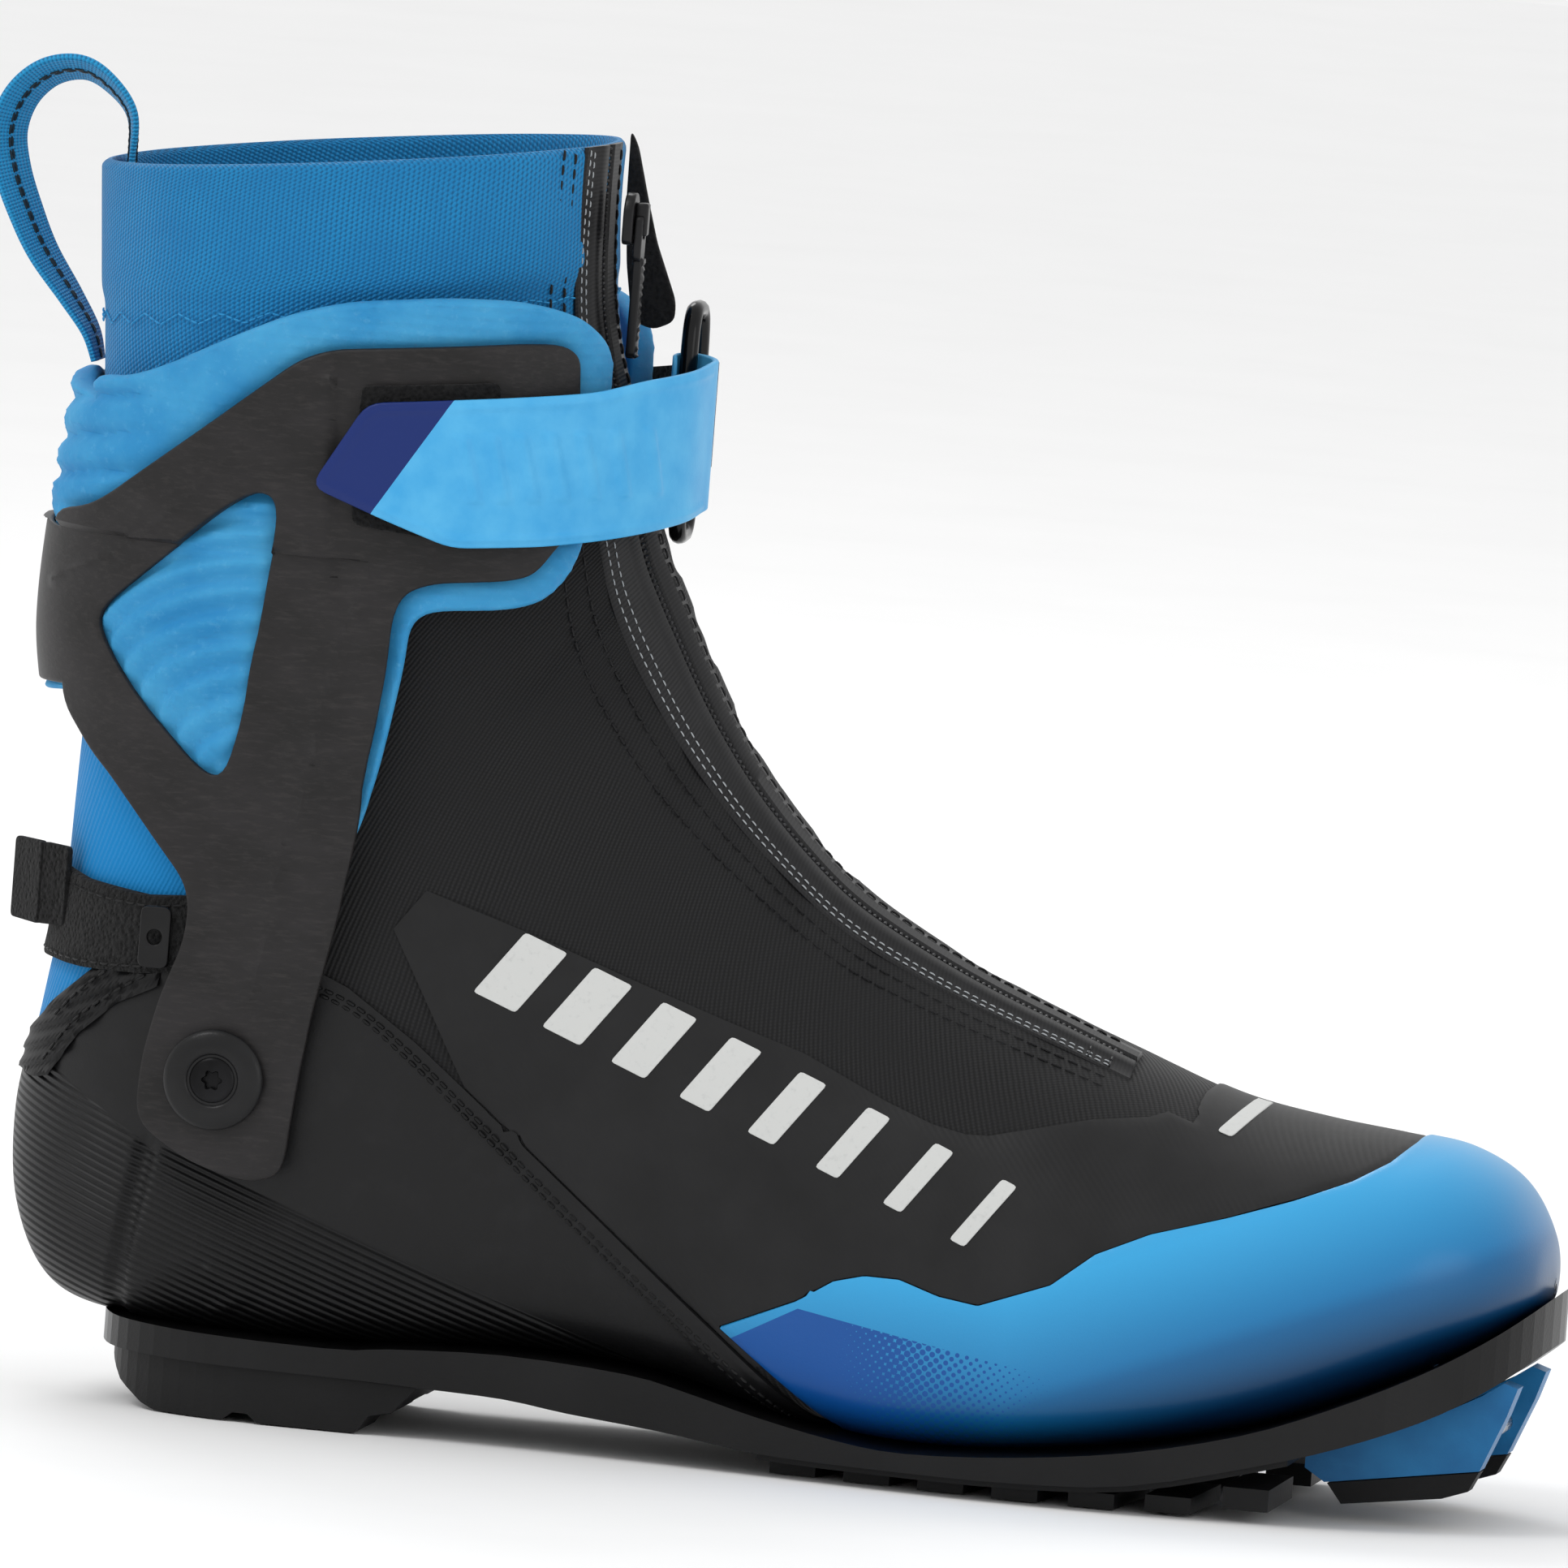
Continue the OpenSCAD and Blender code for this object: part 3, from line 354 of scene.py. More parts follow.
def stitches(name, trails, length, radius, pitch):
    """Rows of sewn stitches: small rods with rounded ends along each trail of (points, normals)."""
    centres, ways, ups = [], [], []
    for path, normal in trails:
        at = np.r_[0, np.cumsum(np.linalg.norm(np.diff(path, axis=0), axis=1))]
        where = np.arange(pitch / 2, at[-1], pitch)
        centre = np.stack([np.interp(where, at, path[:, k]) for k in range(3)], -1)
        ahead = np.stack([np.interp(where + 0.3, at, path[:, k]) for k in range(3)], -1)
        behind = np.stack([np.interp(where - 0.3, at, path[:, k]) for k in range(3)], -1)
        centres.append(centre)
        ways.append(ahead - behind)
        ups.append(np.stack([np.interp(where, at, normal[:, k]) for k in range(3)], -1))
    centre, way, up = np.vstack(centres), np.vstack(ways), np.vstack(ups)
    way /= np.linalg.norm(way, axis=1, keepdims=True)
    side = np.cross(up, way)
    side /= np.linalg.norm(side, axis=1, keepdims=True)
    up = np.cross(way, side)
    along = np.array([-0.5, -0.38, 0, 0.38, 0.5]) * length
    girth = np.array([0.25, 0.85, 1.0, 0.85, 0.25]) * radius
    lifted = np.array([-0.6, 0.1, 0.35, 0.1, -0.6]) * radius
    turn = np.arange(6) * np.pi / 3
    ring = (side[:, None, None] * np.cos(turn)[None, None, :, None]
            + up[:, None, None] * np.sin(turn)[None, None, :, None]) * girth[None, :, None, None]
    points = (centre[:, None, None] + way[:, None, None] * along[None, :, None, None]
              + up[:, None, None] * lifted[None, :, None, None] + ring)
    i, j = np.meshgrid(np.arange(4), np.arange(6), indexing="ij")
    a, b = (i * 6 + j).ravel(), (i * 6 + (j + 1) % 6).ravel()
    one = np.vstack([np.stack([a, b, b + 6, a + 6], -1),
                     [[2, 1, 0, 3], [5, 4, 3, 0], [24, 25, 26, 27], [24, 27, 28, 29]]])
    faces = (one[None] + (np.arange(len(centre)) * 30)[:, None, None]).reshape(-1, 4)
    return make_object(name, points.reshape(-1, 3), faces)


def plate(name, outlines, low, high, bevel, step, place, relief=None, rounds=2):
    """Plate with rounded edges cut from closed outlines, of which the later ones are holes, then laid on a
    surface: place(a, b, depth) gives the point. relief(a, b) lifts the upper side by that much."""
    data = bpy.data.curves.new(name, "CURVE")
    data.dimensions = "2D"
    data.fill_mode = "BOTH"
    data.extrude = (high - low) / 2 - bevel
    data.bevel_depth = bevel
    data.bevel_resolution = rounds
    data.offset = -bevel
    for outline in outlines:
        spline = data.splines.new("POLY")
        spline.points.add(len(outline) - 1)
        spline.points.foreach_set("co", np.c_[outline, np.zeros(len(outline)), np.ones(len(outline))].ravel())
        spline.use_cyclic_u = True
    flat = bpy.data.objects.new(name + "_flat", data)
    bpy.context.scene.collection.objects.link(flat)
    bpy.context.view_layer.update()
    mesh = bpy.data.meshes.new_from_object(flat.evaluated_get(bpy.context.evaluated_depsgraph_get()))
    bpy.data.objects.remove(flat)
    bpy.data.curves.remove(data)
    bm = bmesh.new()
    bm.from_mesh(mesh)
    bmesh.ops.remove_doubles(bm, verts=bm.verts, dist=1e-3)
    corner = np.vstack(outlines)
    for axis in (0, 1):
        first, last = corner[:, axis].min(), corner[:, axis].max()
        direction = [(1, 0, 0), (0, 1, 0)][axis]
        for value in np.arange(math.ceil(first / step) * step, last, step):
            bmesh.ops.bisect_plane(bm, geom=bm.verts[:] + bm.edges[:] + bm.faces[:], dist=1e-4,
                                   plane_co=tuple(value * np.array(direction)), plane_no=direction)
    bmesh.ops.dissolve_degenerate(bm, edges=bm.edges, dist=1e-3)
    bm.to_mesh(mesh)
    bm.free()
    co = np.zeros(len(mesh.vertices) * 3)
    mesh.vertices.foreach_get("co", co)
    co = co.reshape(-1, 3)
    faces = [tuple(p.vertices) for p in mesh.polygons]
    corners = np.array([v for f in faces for v in f])
    bpy.data.meshes.remove(mesh)
    depth = co[:, 2] + (low + high) / 2
    if relief is not None:
        upper = np.clip((depth - low) / (high - low), 0, 1)
        depth = depth + relief(co[:, 0], co[:, 1]) * upper
    return make_object(name, place(co[:, 0], co[:, 1], depth), faces, co[corners, :2])


def rounded(outline, radius, steps=4):
    """Outline with each corner replaced by a curve that starts up to radius before it."""
    p = np.asarray(outline, float)
    before, after = np.roll(p, 1, 0) - p, np.roll(p, -1, 0) - p
    lb, la = np.linalg.norm(before, axis=1, keepdims=True), np.linalg.norm(after, axis=1, keepdims=True)
    start = p + before / lb * np.minimum(radius, lb * 0.45)
    end = p + after / la * np.minimum(radius, la * 0.45)
    t = np.linspace(0, 1, steps + 1)[None, :, None]
    bend = (1 - t) ** 2 * start[:, None] + 2 * t * (1 - t) * p[:, None] + t**2 * end[:, None]
    return bend.reshape(-1, 2)


def join(name, objects):
    """One object from several meshes, with the first one's material slots."""
    bpy.ops.object.select_all(action="DESELECT")
    for obj in objects:
        obj.select_set(True)
    bpy.context.view_layer.objects.active = objects[0]
    bpy.ops.object.join()
    objects[0].name = name
    return objects[0]


# --------------------------------------------------------------------------------------------------------
# Materials
# --------------------------------------------------------------------------------------------------------

def linear(hex_colour):
    """sRGB hex colour to linear red, green, blue, alpha."""
    part = np.array([int(hex_colour[k:k + 2], 16) / 255 for k in (1, 3, 5)])
    part = np.where(part <= 0.04045, part / 12.92, ((part + 0.055) / 1.055) ** 2.4)
    return (*part.tolist(), 1.0)


def add(tree, kind, settings, links=None):
    """Adds a node, sets its properties and sockets, and links its inputs to the given outputs."""
    node = tree.nodes.new(kind)
    for key, value in settings.items():
        if isinstance(key, str) and hasattr(node, key):
            setattr(node, key, value)
        else:
            node.inputs[key].default_value = value
    for key, source in (links or {}).items():
        tree.links.new(source, node.inputs[key])
    return node


def new_material(name, colour, roughness, **shader):
    """Material with one Principled shader; returns the material, its tree and the shader."""
    material = bpy.data.materials.new(name)
    material.use_nodes = True
    tree = material.node_tree
    bsdf = tree.nodes["Principled BSDF"]
    bsdf.inputs["Base Color"].default_value = linear(colour)
    bsdf.inputs["Roughness"].default_value = roughness
    bsdf.inputs["Specular IOR Level"].default_value = 0.25
    for key, value in shader.items():
        bsdf.inputs[key.replace("_", " ")].default_value = value
    return material, tree, bsdf


def object_mm(tree, scale=(1, 1, 1), turn=(0, 0, 0)):
    """Object coordinates in millimetres times scale, turned by the given degrees."""
    place = add(tree, "ShaderNodeTexCoord", {})
    return add(tree, "ShaderNodeMapping", {
        "Scale": tuple(1000 * k for k in scale), "Rotation": tuple(math.radians(t) for t in turn),
    }, {"Vector": place.outputs["Object"]}).outputs["Vector"]


def uv_mm(tree, scale=(1, 1, 1), turn=0):
    """The piece's own uv, which is in millimetres, times scale and turned by the given degrees."""
    place = add(tree, "ShaderNodeTexCoord", {})
    return add(tree, "ShaderNodeMapping", {"Scale": scale, "Rotation": (0, 0, math.radians(turn))},
               {"Vector": place.outputs["UV"]}).outputs["Vector"]


def noise(tree, vector, scale, detail=3, rough=0.55):
    return add(tree, "ShaderNodeTexNoise", {"Scale": scale, "Detail": detail, "Roughness": rough},
               {"Vector": vector}).outputs["Fac"]


def bands(tree, vector, pitch, direction="X", wobble=0.0, wobble_scale=1.0):
    """Even ribs of the given pitch: the wave repeats each 2 pi / 20 of its input."""
    return add(tree, "ShaderNodeTexWave", {
        "wave_type": "BANDS", "bands_direction": direction, "Scale": 2 * math.pi / 20 / pitch,
        "Distortion": wobble, "Detail": 1, "Detail Scale": wobble_scale,
    }, {"Vector": vector}).outputs["Fac"]


def mix_colour(tree, factor, a, b):
    """Mixes two colours by a factor. Each is a hex colour, a colour output or a colour of the boot."""
    node = add(tree, "ShaderNodeMix", {"data_type": "RGBA"})
    tree.links.new(factor, node.inputs[0])
    for socket, value in ((6, a), (7, b)):
        if isinstance(value, str):
            node.inputs[socket].default_value = linear(value)
        elif isinstance(value, bpy.types.NodeSocket):
            tree.links.new(value, node.inputs[socket])
        else:
            node.inputs[socket].default_value = (*value, 1)
    return node.outputs[2]


def ramp(tree, factor, stops):
    """Grey ramp of (position, value) stops."""
    node = add(tree, "ShaderNodeValToRGB", {}, {"Fac": factor})
    while len(node.color_ramp.elements) < len(stops):
        node.color_ramp.elements.new(0.5)
    for element, (position, value) in zip(node.color_ramp.elements, stops):
        element.position = position
        element.color = (value, value, value, 1)
    return node.outputs["Color"]


def mathop(tree, operation, a, b=None, clamp=False):
    node = add(tree, "ShaderNodeMath", {"operation": operation, "use_clamp": clamp})
    for k, value in enumerate((a, b)):
        if value is None:
            continue
        if isinstance(value, (int, float)):
            node.inputs[k].default_value = value
        else:
            tree.links.new(value, node.inputs[k])
    return node.outputs[0]


def bump(tree, bsdf, height, distance_mm, strength=1.0, under=None):
    """Bump of the given height in millimetres into the shader; under is an earlier bump."""
    node = add(tree, "ShaderNodeBump", {"Strength": strength, "Distance": distance_mm * MM},
               {"Height": height})
    if under is not None:
        tree.links.new(under, node.inputs["Normal"])
    tree.links.new(node.outputs["Normal"], bsdf.inputs["Normal"])
    return node.outputs["Normal"]


# --------------------------------------------------------------------------------------------------------
# Skins: patches of the foot form cut along an outline of the side view
# --------------------------------------------------------------------------------------------------------

def side_distance(outline):
    """Function of (x, z) that gives the distance to the outline, negative inside it."""
    outline = np.asarray(outline, float)
    start, end = outline, np.roll(outline, -1, 0)

    def distance(x, z):
        best = np.full(x.shape, 1e9)
        inside = np.zeros(x.shape, bool)
        for (x0, z0), (x1, z1) in zip(start, end):
            dx, dz = x1 - x0, z1 - z0
            t = np.clip(((x - x0) * dx + (z - z0) * dz) / max(dx * dx + dz * dz, 1e-9), 0, 1)
            best = np.minimum(best, np.hypot(x - x0 - t * dx, z - z0 - t * dz))
            if dz:
                crossing = ((z0 > z) != (z1 > z)) & (x < dx * (z - z0) / dz + x0)
                inside ^= crossing
        return np.where(inside, -best, best)
    return distance


def skin(name, edge, sections, low, high, pitch, relief=None, turns=(-np.pi, np.pi), bevel=0.35):
    """Patch of the form from offset low to high: a fine grid over the form keeps the cells whose middle is
    inside edge(x, y, z) < 0, its border points slide onto the edge, and walls close the two sides. The
    outer side drops by a rounded bevel at the border."""
    s0, s1 = sections
    rows = int(np.linalg.norm(np.diff(form(np.linspace(s0, s1, 200), np.pi / 2), axis=0),
                              axis=1).sum() / pitch)
    cols = int(245 * (turns[1] - turns[0]) / (2 * np.pi) / pitch)
    s, v = np.meshgrid(np.linspace(s0, s1, rows), np.linspace(*turns, cols), indexing="ij")
    middle = form((s[1:, 1:] + s[:-1, :-1]) / 2, (v[1:, 1:] + v[:-1, :-1]) / 2)
    keep = edge(middle[..., 0], middle[..., 1], middle[..., 2]) < 0
    number = np.arange(rows * cols).reshape(rows, cols)
    cell = np.stack([number[:-1, :-1], number[:-1, 1:], number[1:, 1:], number[1:, :-1]], -1)[keep]
    used, again = np.unique(cell, return_inverse=True)
    cell = again.reshape(-1, 4)
    s, v = s.ravel()[used], v.ravel()[used]
    pair = np.vstack([cell[:, [k, (k + 1) % 4]] for k in range(4)])
    key = np.sort(pair, 1)
    _, first, count = np.unique(key[:, 0] * len(used) + key[:, 1], return_index=True, return_counts=True)
    rim = pair[first[count == 1]]
    wrapped = np.abs(turns[1] - turns[0] - 2 * np.pi) < 1e-6
    if wrapped:
        on_seam = (np.abs(np.abs(v[rim]) - np.pi) < 1e-6).all(1)
        rim = rim[~on_seam]
    border = np.unique(rim)
    if wrapped:
        border = border[np.abs(np.abs(v[border]) - np.pi) > 1e-6]
    ds, dv = 0.02, 0.01
    for _ in range(4):
        def reach(a, b):
            p = form(a, b)
            return edge(p[..., 0], p[..., 1], p[..., 2])
        a, b = s[border], v[border]
        here = reach(a, b)
        along = np.linalg.norm(form(a + ds, b) - form(a - ds, b), axis=-1) / (2 * ds) + 1e-6
        across = np.linalg.norm(form(a, b + dv) - form(a, b - dv), axis=-1) / (2 * dv) + 1e-6
        ga = (reach(a + ds, b) - reach(a - ds, b)) / (2 * ds) / along
        gb = (reach(a, b + dv) - reach(a, b - dv)) / (2 * dv) / across
        step = np.clip(here / np.maximum(ga**2 + gb**2, 0.05), -pitch * 0.8, pitch * 0.8)
        s[border] = np.clip(a - step * ga / along, s0, s1)
        v[border] = b - step * gb / across
    flat = form(s, v)
    depth = np.full(len(s), float(high))
    if relief is not None:
        depth = depth + relief(flat[:, 0], flat[:, 1], flat[:, 2])
    if bevel:
        gap = np.clip(-edge(flat[:, 0], flat[:, 1], flat[:, 2]) / (2 * bevel), 0, 1)
        depth = depth - bevel * (1 - gap) ** 2
    count = len(s)
    walls = np.stack([rim[:, 1], rim[:, 0], rim[:, 0] + count, rim[:, 1] + count], -1)
    faces = np.vstack([cell, cell[:, ::-1] + count, walls])
    points = np.vstack([form(s, v, depth), form(s, v, np.minimum(low, depth - 0.05))])
    uv = np.stack([flat[:, 0], flat[:, 2]], -1)
    return make_object(name, points, faces, np.vstack([uv, uv])[faces.ravel()])


def along(path, count=240):
    """Upright band on a plan path: place(p, z, d) at length p, height z and d to the path's outer side."""
    line = curve(path, count)
    at = np.r_[0, np.cumsum(np.linalg.norm(np.diff(line, axis=0), axis=1))]
    way = np.gradient(line, axis=0)
    way /= np.linalg.norm(way, axis=1, keepdims=True)

    def place(p, z, d):
        p, z, d = np.broadcast_arrays(np.asarray(p, float), z, d)
        x, y = np.interp(p, at, line[:, 0]), np.interp(p, at, line[:, 1])
        wx, wy = np.interp(p, at, way[:, 0]), np.interp(p, at, way[:, 1])
        over = np.clip(p - at[-1], 0, None)
        return np.stack([x + wx * over - wy * -d * -1, y + wy * over + wx * -d * -1, z], -1)
    place.length = at[-1]
    place.at_x = lambda x: np.interp(x, line[::-1, 0], at[::-1])
    return place


def lathe(name, profile, centre, way=-1, steps=64, lobes=None):
    """Turned solid round an axis along Y: profile of (radius, height) from the middle of one face round to
    the middle of the other, height along way. lobes(radius, angle) changes the radius."""
    profile = np.asarray(profile, float)
    turn = np.linspace(0, 2 * np.pi, steps, endpoint=False)
    radius = np.repeat(profile[:, :1], steps, 1)
    if lobes is not None:
        radius = lobes(radius, turn[None])
    y = np.repeat(profile[:, 1:], steps, 1) * way
    points = np.stack([centre[0] + radius * np.cos(turn), centre[1] + y,
                       centre[2] + radius * np.sin(turn)], -1)
    m = len(profile)
    i, j = np.meshgrid(np.arange(m - 1), np.arange(steps), indexing="ij")
    a, b = (i * steps + j).ravel(), (i * steps + (j + 1) % steps).ravel()
    faces = np.stack([a, b, b + steps, a + steps], -1)
    return make_object(name, points.reshape(-1, 3), faces)


# --------------------------------------------------------------------------------------------------------
# Sizes and colours a user would change
# --------------------------------------------------------------------------------------------------------

def size(name, text, value, low=0.0, high=0.1):
    return bpy.props.FloatProperty(name=name, description=text, default=value, min=low, max=high,
                                   unit="LENGTH", precision=4)


def colour(name, text, hex_colour):
    return bpy.props.FloatVectorProperty(name=name, description=text, default=linear(hex_colour)[:3],
                                         subtype="COLOR", size=3, min=0, max=1)


class BootColours(bpy.types.PropertyGroup):
    """Colours of the coloured parts."""
    knit: colour("Knit collar", "Yarn colour of the elastic knitted collar", "#1583BE")
    pad: colour("Cuff pad", "Paler shade of the foam pad under the frame", "#449CCB")
    strap: colour("Closing strap", "Paler shade of the moulded strap", "#56B2E2")
    guard: colour("Toe guard", "Upper colour of the coated toe guard", "#349FD6")
    webbing: colour("Pull loop", "Yarn colour of the woven pull loop", "#1E97CF")
    neoprene: colour("Heel stretch panel", "Colour of the neoprene at the tendon", "#057DBE")
    toe_block: colour("Toe block", "Paler shade of the moulded toe block", "#2074AB")


class BootSizes(bpy.types.PropertyGroup):
    """Sizes of the soft goods and of the seams."""
    twill: size("Twill pitch", "Distance between two ribs of the shell's twill, drawn coarse enough to show",
                0.0011)
    stitch: size("Stitch length", "Length of one sewn stitch", 0.0022)
    thread: size("Thread radius", "Radius of the sewing thread", 0.0003)
    strap_thickness: size("Strap thickness", "Thickness of the closing strap", 0.0014)
    cap_radius: size("Pivot cap radius", "Radius of the domed cap at the pivot", 0.0098)


def sizes():
    return bpy.context.scene.boot_sizes


def colours():
    return bpy.context.scene.boot_colours


def dress(obj, material, slot, body=None, *nodes):
    """Gives a piece its material, its body and the CAD nodes it stands for. The slot argument is not used."""
    obj.data.materials.clear()
    obj.data.materials.append(material)
    if body:
        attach(obj, body)
    if nodes:
        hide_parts(*nodes)
    return obj


def bend(obj):
    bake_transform(obj)


# Outlines in the side view, shared by the pieces that meet along them.
FRAME_EDGE = [
    [-140, 173], [-132, 175], [-125, 180], [-99, 202], [-92, 208], [-86, 210.4], [-50, 214.2], [-44, 214.3],
    [-41.3, 212], [-41, 207], [-39, 179], [-42, 175.5], [-45.5, 169.7], [-50, 168.2], [-64, 166.7],
    [-69, 164.5],
    [-71, 160], [-71.5, 148], [-74, 129], [-77, 102.5], [-81.5, 79], [-84.5, 51.5], [-86, 49], [-90, 47.7],
    [-95, 48.2], [-104, 51], [-112, 56], [-114, 60], [-113.5, 70], [-111, 81.5], [-107, 93], [-106.5, 100],
    [-108, 105], [-124, 123], [-129, 127.5], [-136, 136],
]
FRAME_WINDOW = [
    [-130, 154.5], [-117.5, 166], [-105.5, 177], [-99, 181.5], [-95, 181], [-94, 176], [-96, 160], [-99, 135],
    [-101.5, 125.5], [-106, 126], [-120, 139], [-127.5, 148.5],
]
PAD_EDGE = [
    [-136, 200], [-128, 200.6], [-119.5, 204], [-106, 211.2], [-95, 216.5], [-84, 219.7], [-64, 222],
    [-50, 222.2],
    [-41, 220], [-36.5, 215.5], [-35, 210], [-36.5, 176], [-39, 169], [-43, 164.4], [-49, 162.4],
    [-64, 161.2],
    [-67.5, 158], [-68, 150], [-71.5, 129.5], [-76, 113], [-86, 110], [-100, 112], [-104, 117], [-120, 125],
    [-130, 134],
]
STRAP_EDGE = [
    [-87.7, 184], [-78, 201], [-60, 203], [-44, 204.8], [-36, 205.8], [-28, 208.3], [-20, 211], [-20, 181.5],
    [-22, 180.5], [-34, 177], [-44, 175.5], [-60, 174.2], [-74, 179],
]
HEEL_STRAP_EDGE = [
    [-165, 109], [-146, 108.5], [-138, 106], [-128, 103], [-115, 101.5], [-102, 102.5], [-102, 88],
    [-115, 86.5], [-128, 86.5], [-138, 87.5], [-150, 89], [-165, 90],
]
BINDING_EDGE = [
    [-160, 70], [-141, 71], [-134, 79], [-126, 86], [-118, 92], [-112, 94], [-112, 84], [-120, 80],
    [-128, 73], [-134, 64], [-160, 62],
]
COUNTER_EDGE = [
    [-160, 69], [-140.5, 70], [-134, 78], [-126, 85], [-118, 91], [-104, 95], [-88, 92], [-75, 86.5],
    [-61, 77],
    [-46.5, 65.5], [-27, 50], [2, 27], [24, 9], [24, 0], [-160, 0],
]
GUARD_EDGE = [
    [170, 80], [135, 80], [132, 76.2], [131, 72], [128, 69], [122, 65.5], [112, 61.5], [100, 57.5],
    [86, 53.5],
    [76, 49], [68, 42.5], [54, 37.2], [46, 38.2], [38, 40.6], [31, 40.6], [25, 39], [18, 34.5], [3, 28],
    [26, 10.5], [26, 0], [170, 0],
]
FILM_EDGE = [
    [-74, 110.6], [-55, 104.4], [-39, 99.3], [-20.8, 92.9], [-2.4, 86.8], [14.4, 81.5], [23.7, 77.3],
    [31.3, 73.9],
    [41, 70.4], [47.7, 69.1], [52.2, 69.2], [63.3, 71.8], [71.4, 73.6], [81.4, 74.5], [87.9, 76.6],
    [90.2, 79.3],
    [89.7, 81.9], [87.2, 84.9], [90, 95], [170, 95], [170, 40], [3, 20], [-40, 50],
]
SOLE_TOP = np.array([
    [-140, 19], [-118, 17], [-75, 16], [-62, 17], [-39.5, 18], [-15, 16.8], [-2.5, 14.5], [12, 11.2],
    [28, 8.5], [42, 7.5], [64, 9], [86, 12], [107, 17], [123, 23], [139, 30.5], [150, 37], [158, 43],
    [165, 49.5],
], float)
KNIT_LINE = ((-170.0, 198.0), (-20.0, 204.0))
PIVOT = (-99.0, 67.0)
ZIP_BOTTOM = 7.4


def over_sole(x, z, gap=0.2):
    """Height over the top of the sole less gap, as a distance that is negative above it."""
    return np.interp(x, SOLE_TOP[:, 0], SOLE_TOP[:, 1]) + gap - z


def zip_at(s, y, d=0.0):
    """Point on the upper side of the form at section s and distance y to the inner side of the ridge."""
    return form(s, angle_of(s, y), d)


def crossing(v, line):
    """Section at which the form's line of angle v passes the height of a sloping line."""
    s = np.linspace(18, RIM, 400)
    (x0, z0), (x1, z1) = line
    p = form(s[:, None], v[None])
    over = p[..., 2] - (z0 + (p[..., 0] - x0) * (z1 - z0) / (x1 - x0))
    return np.array([np.interp(0, over[:, k], s) for k in range(len(v))])


def around(rows, cols, start, end):
    """Grid of sections and angles all round the form between the sections start(v) and end(v)."""
    v = np.linspace(-np.pi, np.pi, cols)
    t = np.linspace(0, 1, rows)[:, None]
    return start(v)[None] * (1 - t) + end(v)[None] * t, np.repeat(v[None], rows, 0)


# --------------------------------------------------------------------------------------------------------
# Materials of the boot
# --------------------------------------------------------------------------------------------------------

def twill_material():
    """Woven polyester softshell: a steep diagonal rib and a slight mottle, matt with a faint sheen. In the
    heel's hollow, behind the frame's arm, the same surface turns into azure neoprene."""
    material, tree, bsdf = new_material("Softshell twill", "#161617", 0.75, Sheen_Weight=0.1,
                                        Sheen_Roughness=0.45)
    rib = bands(tree, uv_mm(tree, turn=58), sizes().twill / MM, wobble=0.8, wobble_scale=2)
    thread = bands(tree, uv_mm(tree, turn=-34), 0.7, wobble=0.4, wobble_scale=3)
    mottle = noise(tree, object_mm(tree), 0.09, 4)
    cross = mathop(tree, "MULTIPLY", rib, mathop(tree, "ADD", mathop(tree, "MULTIPLY", thread, 0.5), 0.5))
    weave = mix_colour(tree, cross, "#0B0B0C", "#232324")
    cloth = mix_colour(tree, ramp(tree, mottle, [(0.35, 0.0), (0.7, 0.5)]), weave, "#161617")
    place = add(tree, "ShaderNodeSeparateXYZ", {}, {"Vector": object_mm(tree)})
    # the stretch panel lies behind the frame's arm and below the cuff's pad
    behind = mathop(tree, "LESS_THAN", place.outputs["X"], -101.0)
    low = mathop(tree, "MULTIPLY", behind, mathop(tree, "LESS_THAN", place.outputs["Z"], 140.0))
    blue = add(tree, "ShaderNodeMix", {"data_type": "RGBA"}, {0: low, 6: cloth})
    blue.inputs[7].default_value = (*colours().neoprene, 1)
    tree.links.new(blue.outputs[2], bsdf.inputs["Base Color"])
    fine = bump(tree, bsdf, thread, 0.05, 0.5)
    bump(tree, bsdf, rib, 0.14, 0.9, fine)
    return material


def knit_material():
    """Elastic rib knit: upright wales with small slanted loops, soft sheen of polyester yarn."""
    material, tree, bsdf = new_material("Elastic rib knit", "#0F73AE", 0.7, Sheen_Weight=0.15,
                                        Sheen_Roughness=0.4)
    wale = bands(tree, uv_mm(tree), 1.0, wobble=0.6, wobble_scale=4)
    loops = bands(tree, uv_mm(tree, turn=62), 0.8, wobble=0.7, wobble_scale=4)
    yarn = mathop(tree, "MULTIPLY", mathop(tree, "ADD", wale, 0.45), mathop(tree, "ADD", loops, 0.5))
    soft = noise(tree, object_mm(tree), 0.12, 4)
    base = mix_colour(tree, ramp(tree, yarn, [(0.15, 0.0), (1.0, 1.0)]), "#064870", colours().knit)
    shade = mix_colour(tree, ramp(tree, soft, [(0.3, 0.0), (0.8, 0.45)]), base, "#0C66A0")
    tree.links.new(shade, bsdf.inputs["Base Color"])
    bump(tree, bsdf, yarn, 0.16, 0.8)
    return material


def webbing_material():
    """Woven polyester webbing: close cross ribs, darker in the gaps, satin."""
    material, tree, bsdf = new_material("Woven webbing", "#1784B8", 0.6, Sheen_Weight=0.12)
    rib = bands(tree, uv_mm(tree), 0.7, "Y", 0.8, 5)
    warp = bands(tree, uv_mm(tree), 0.9, "X", 0.4, 4)
    weave = mathop(tree, "MULTIPLY", mathop(tree, "ADD", rib, 0.4), mathop(tree, "ADD", warp, 0.6))
    base = mix_colour(tree, ramp(tree, weave, [(0.2, 0.0), (1.2, 1.0)]), "#0A5784", colours().webbing)
    tree.links.new(base, bsdf.inputs["Base Color"])
    bump(tree, bsdf, weave, 0.16, 0.9)
    return material


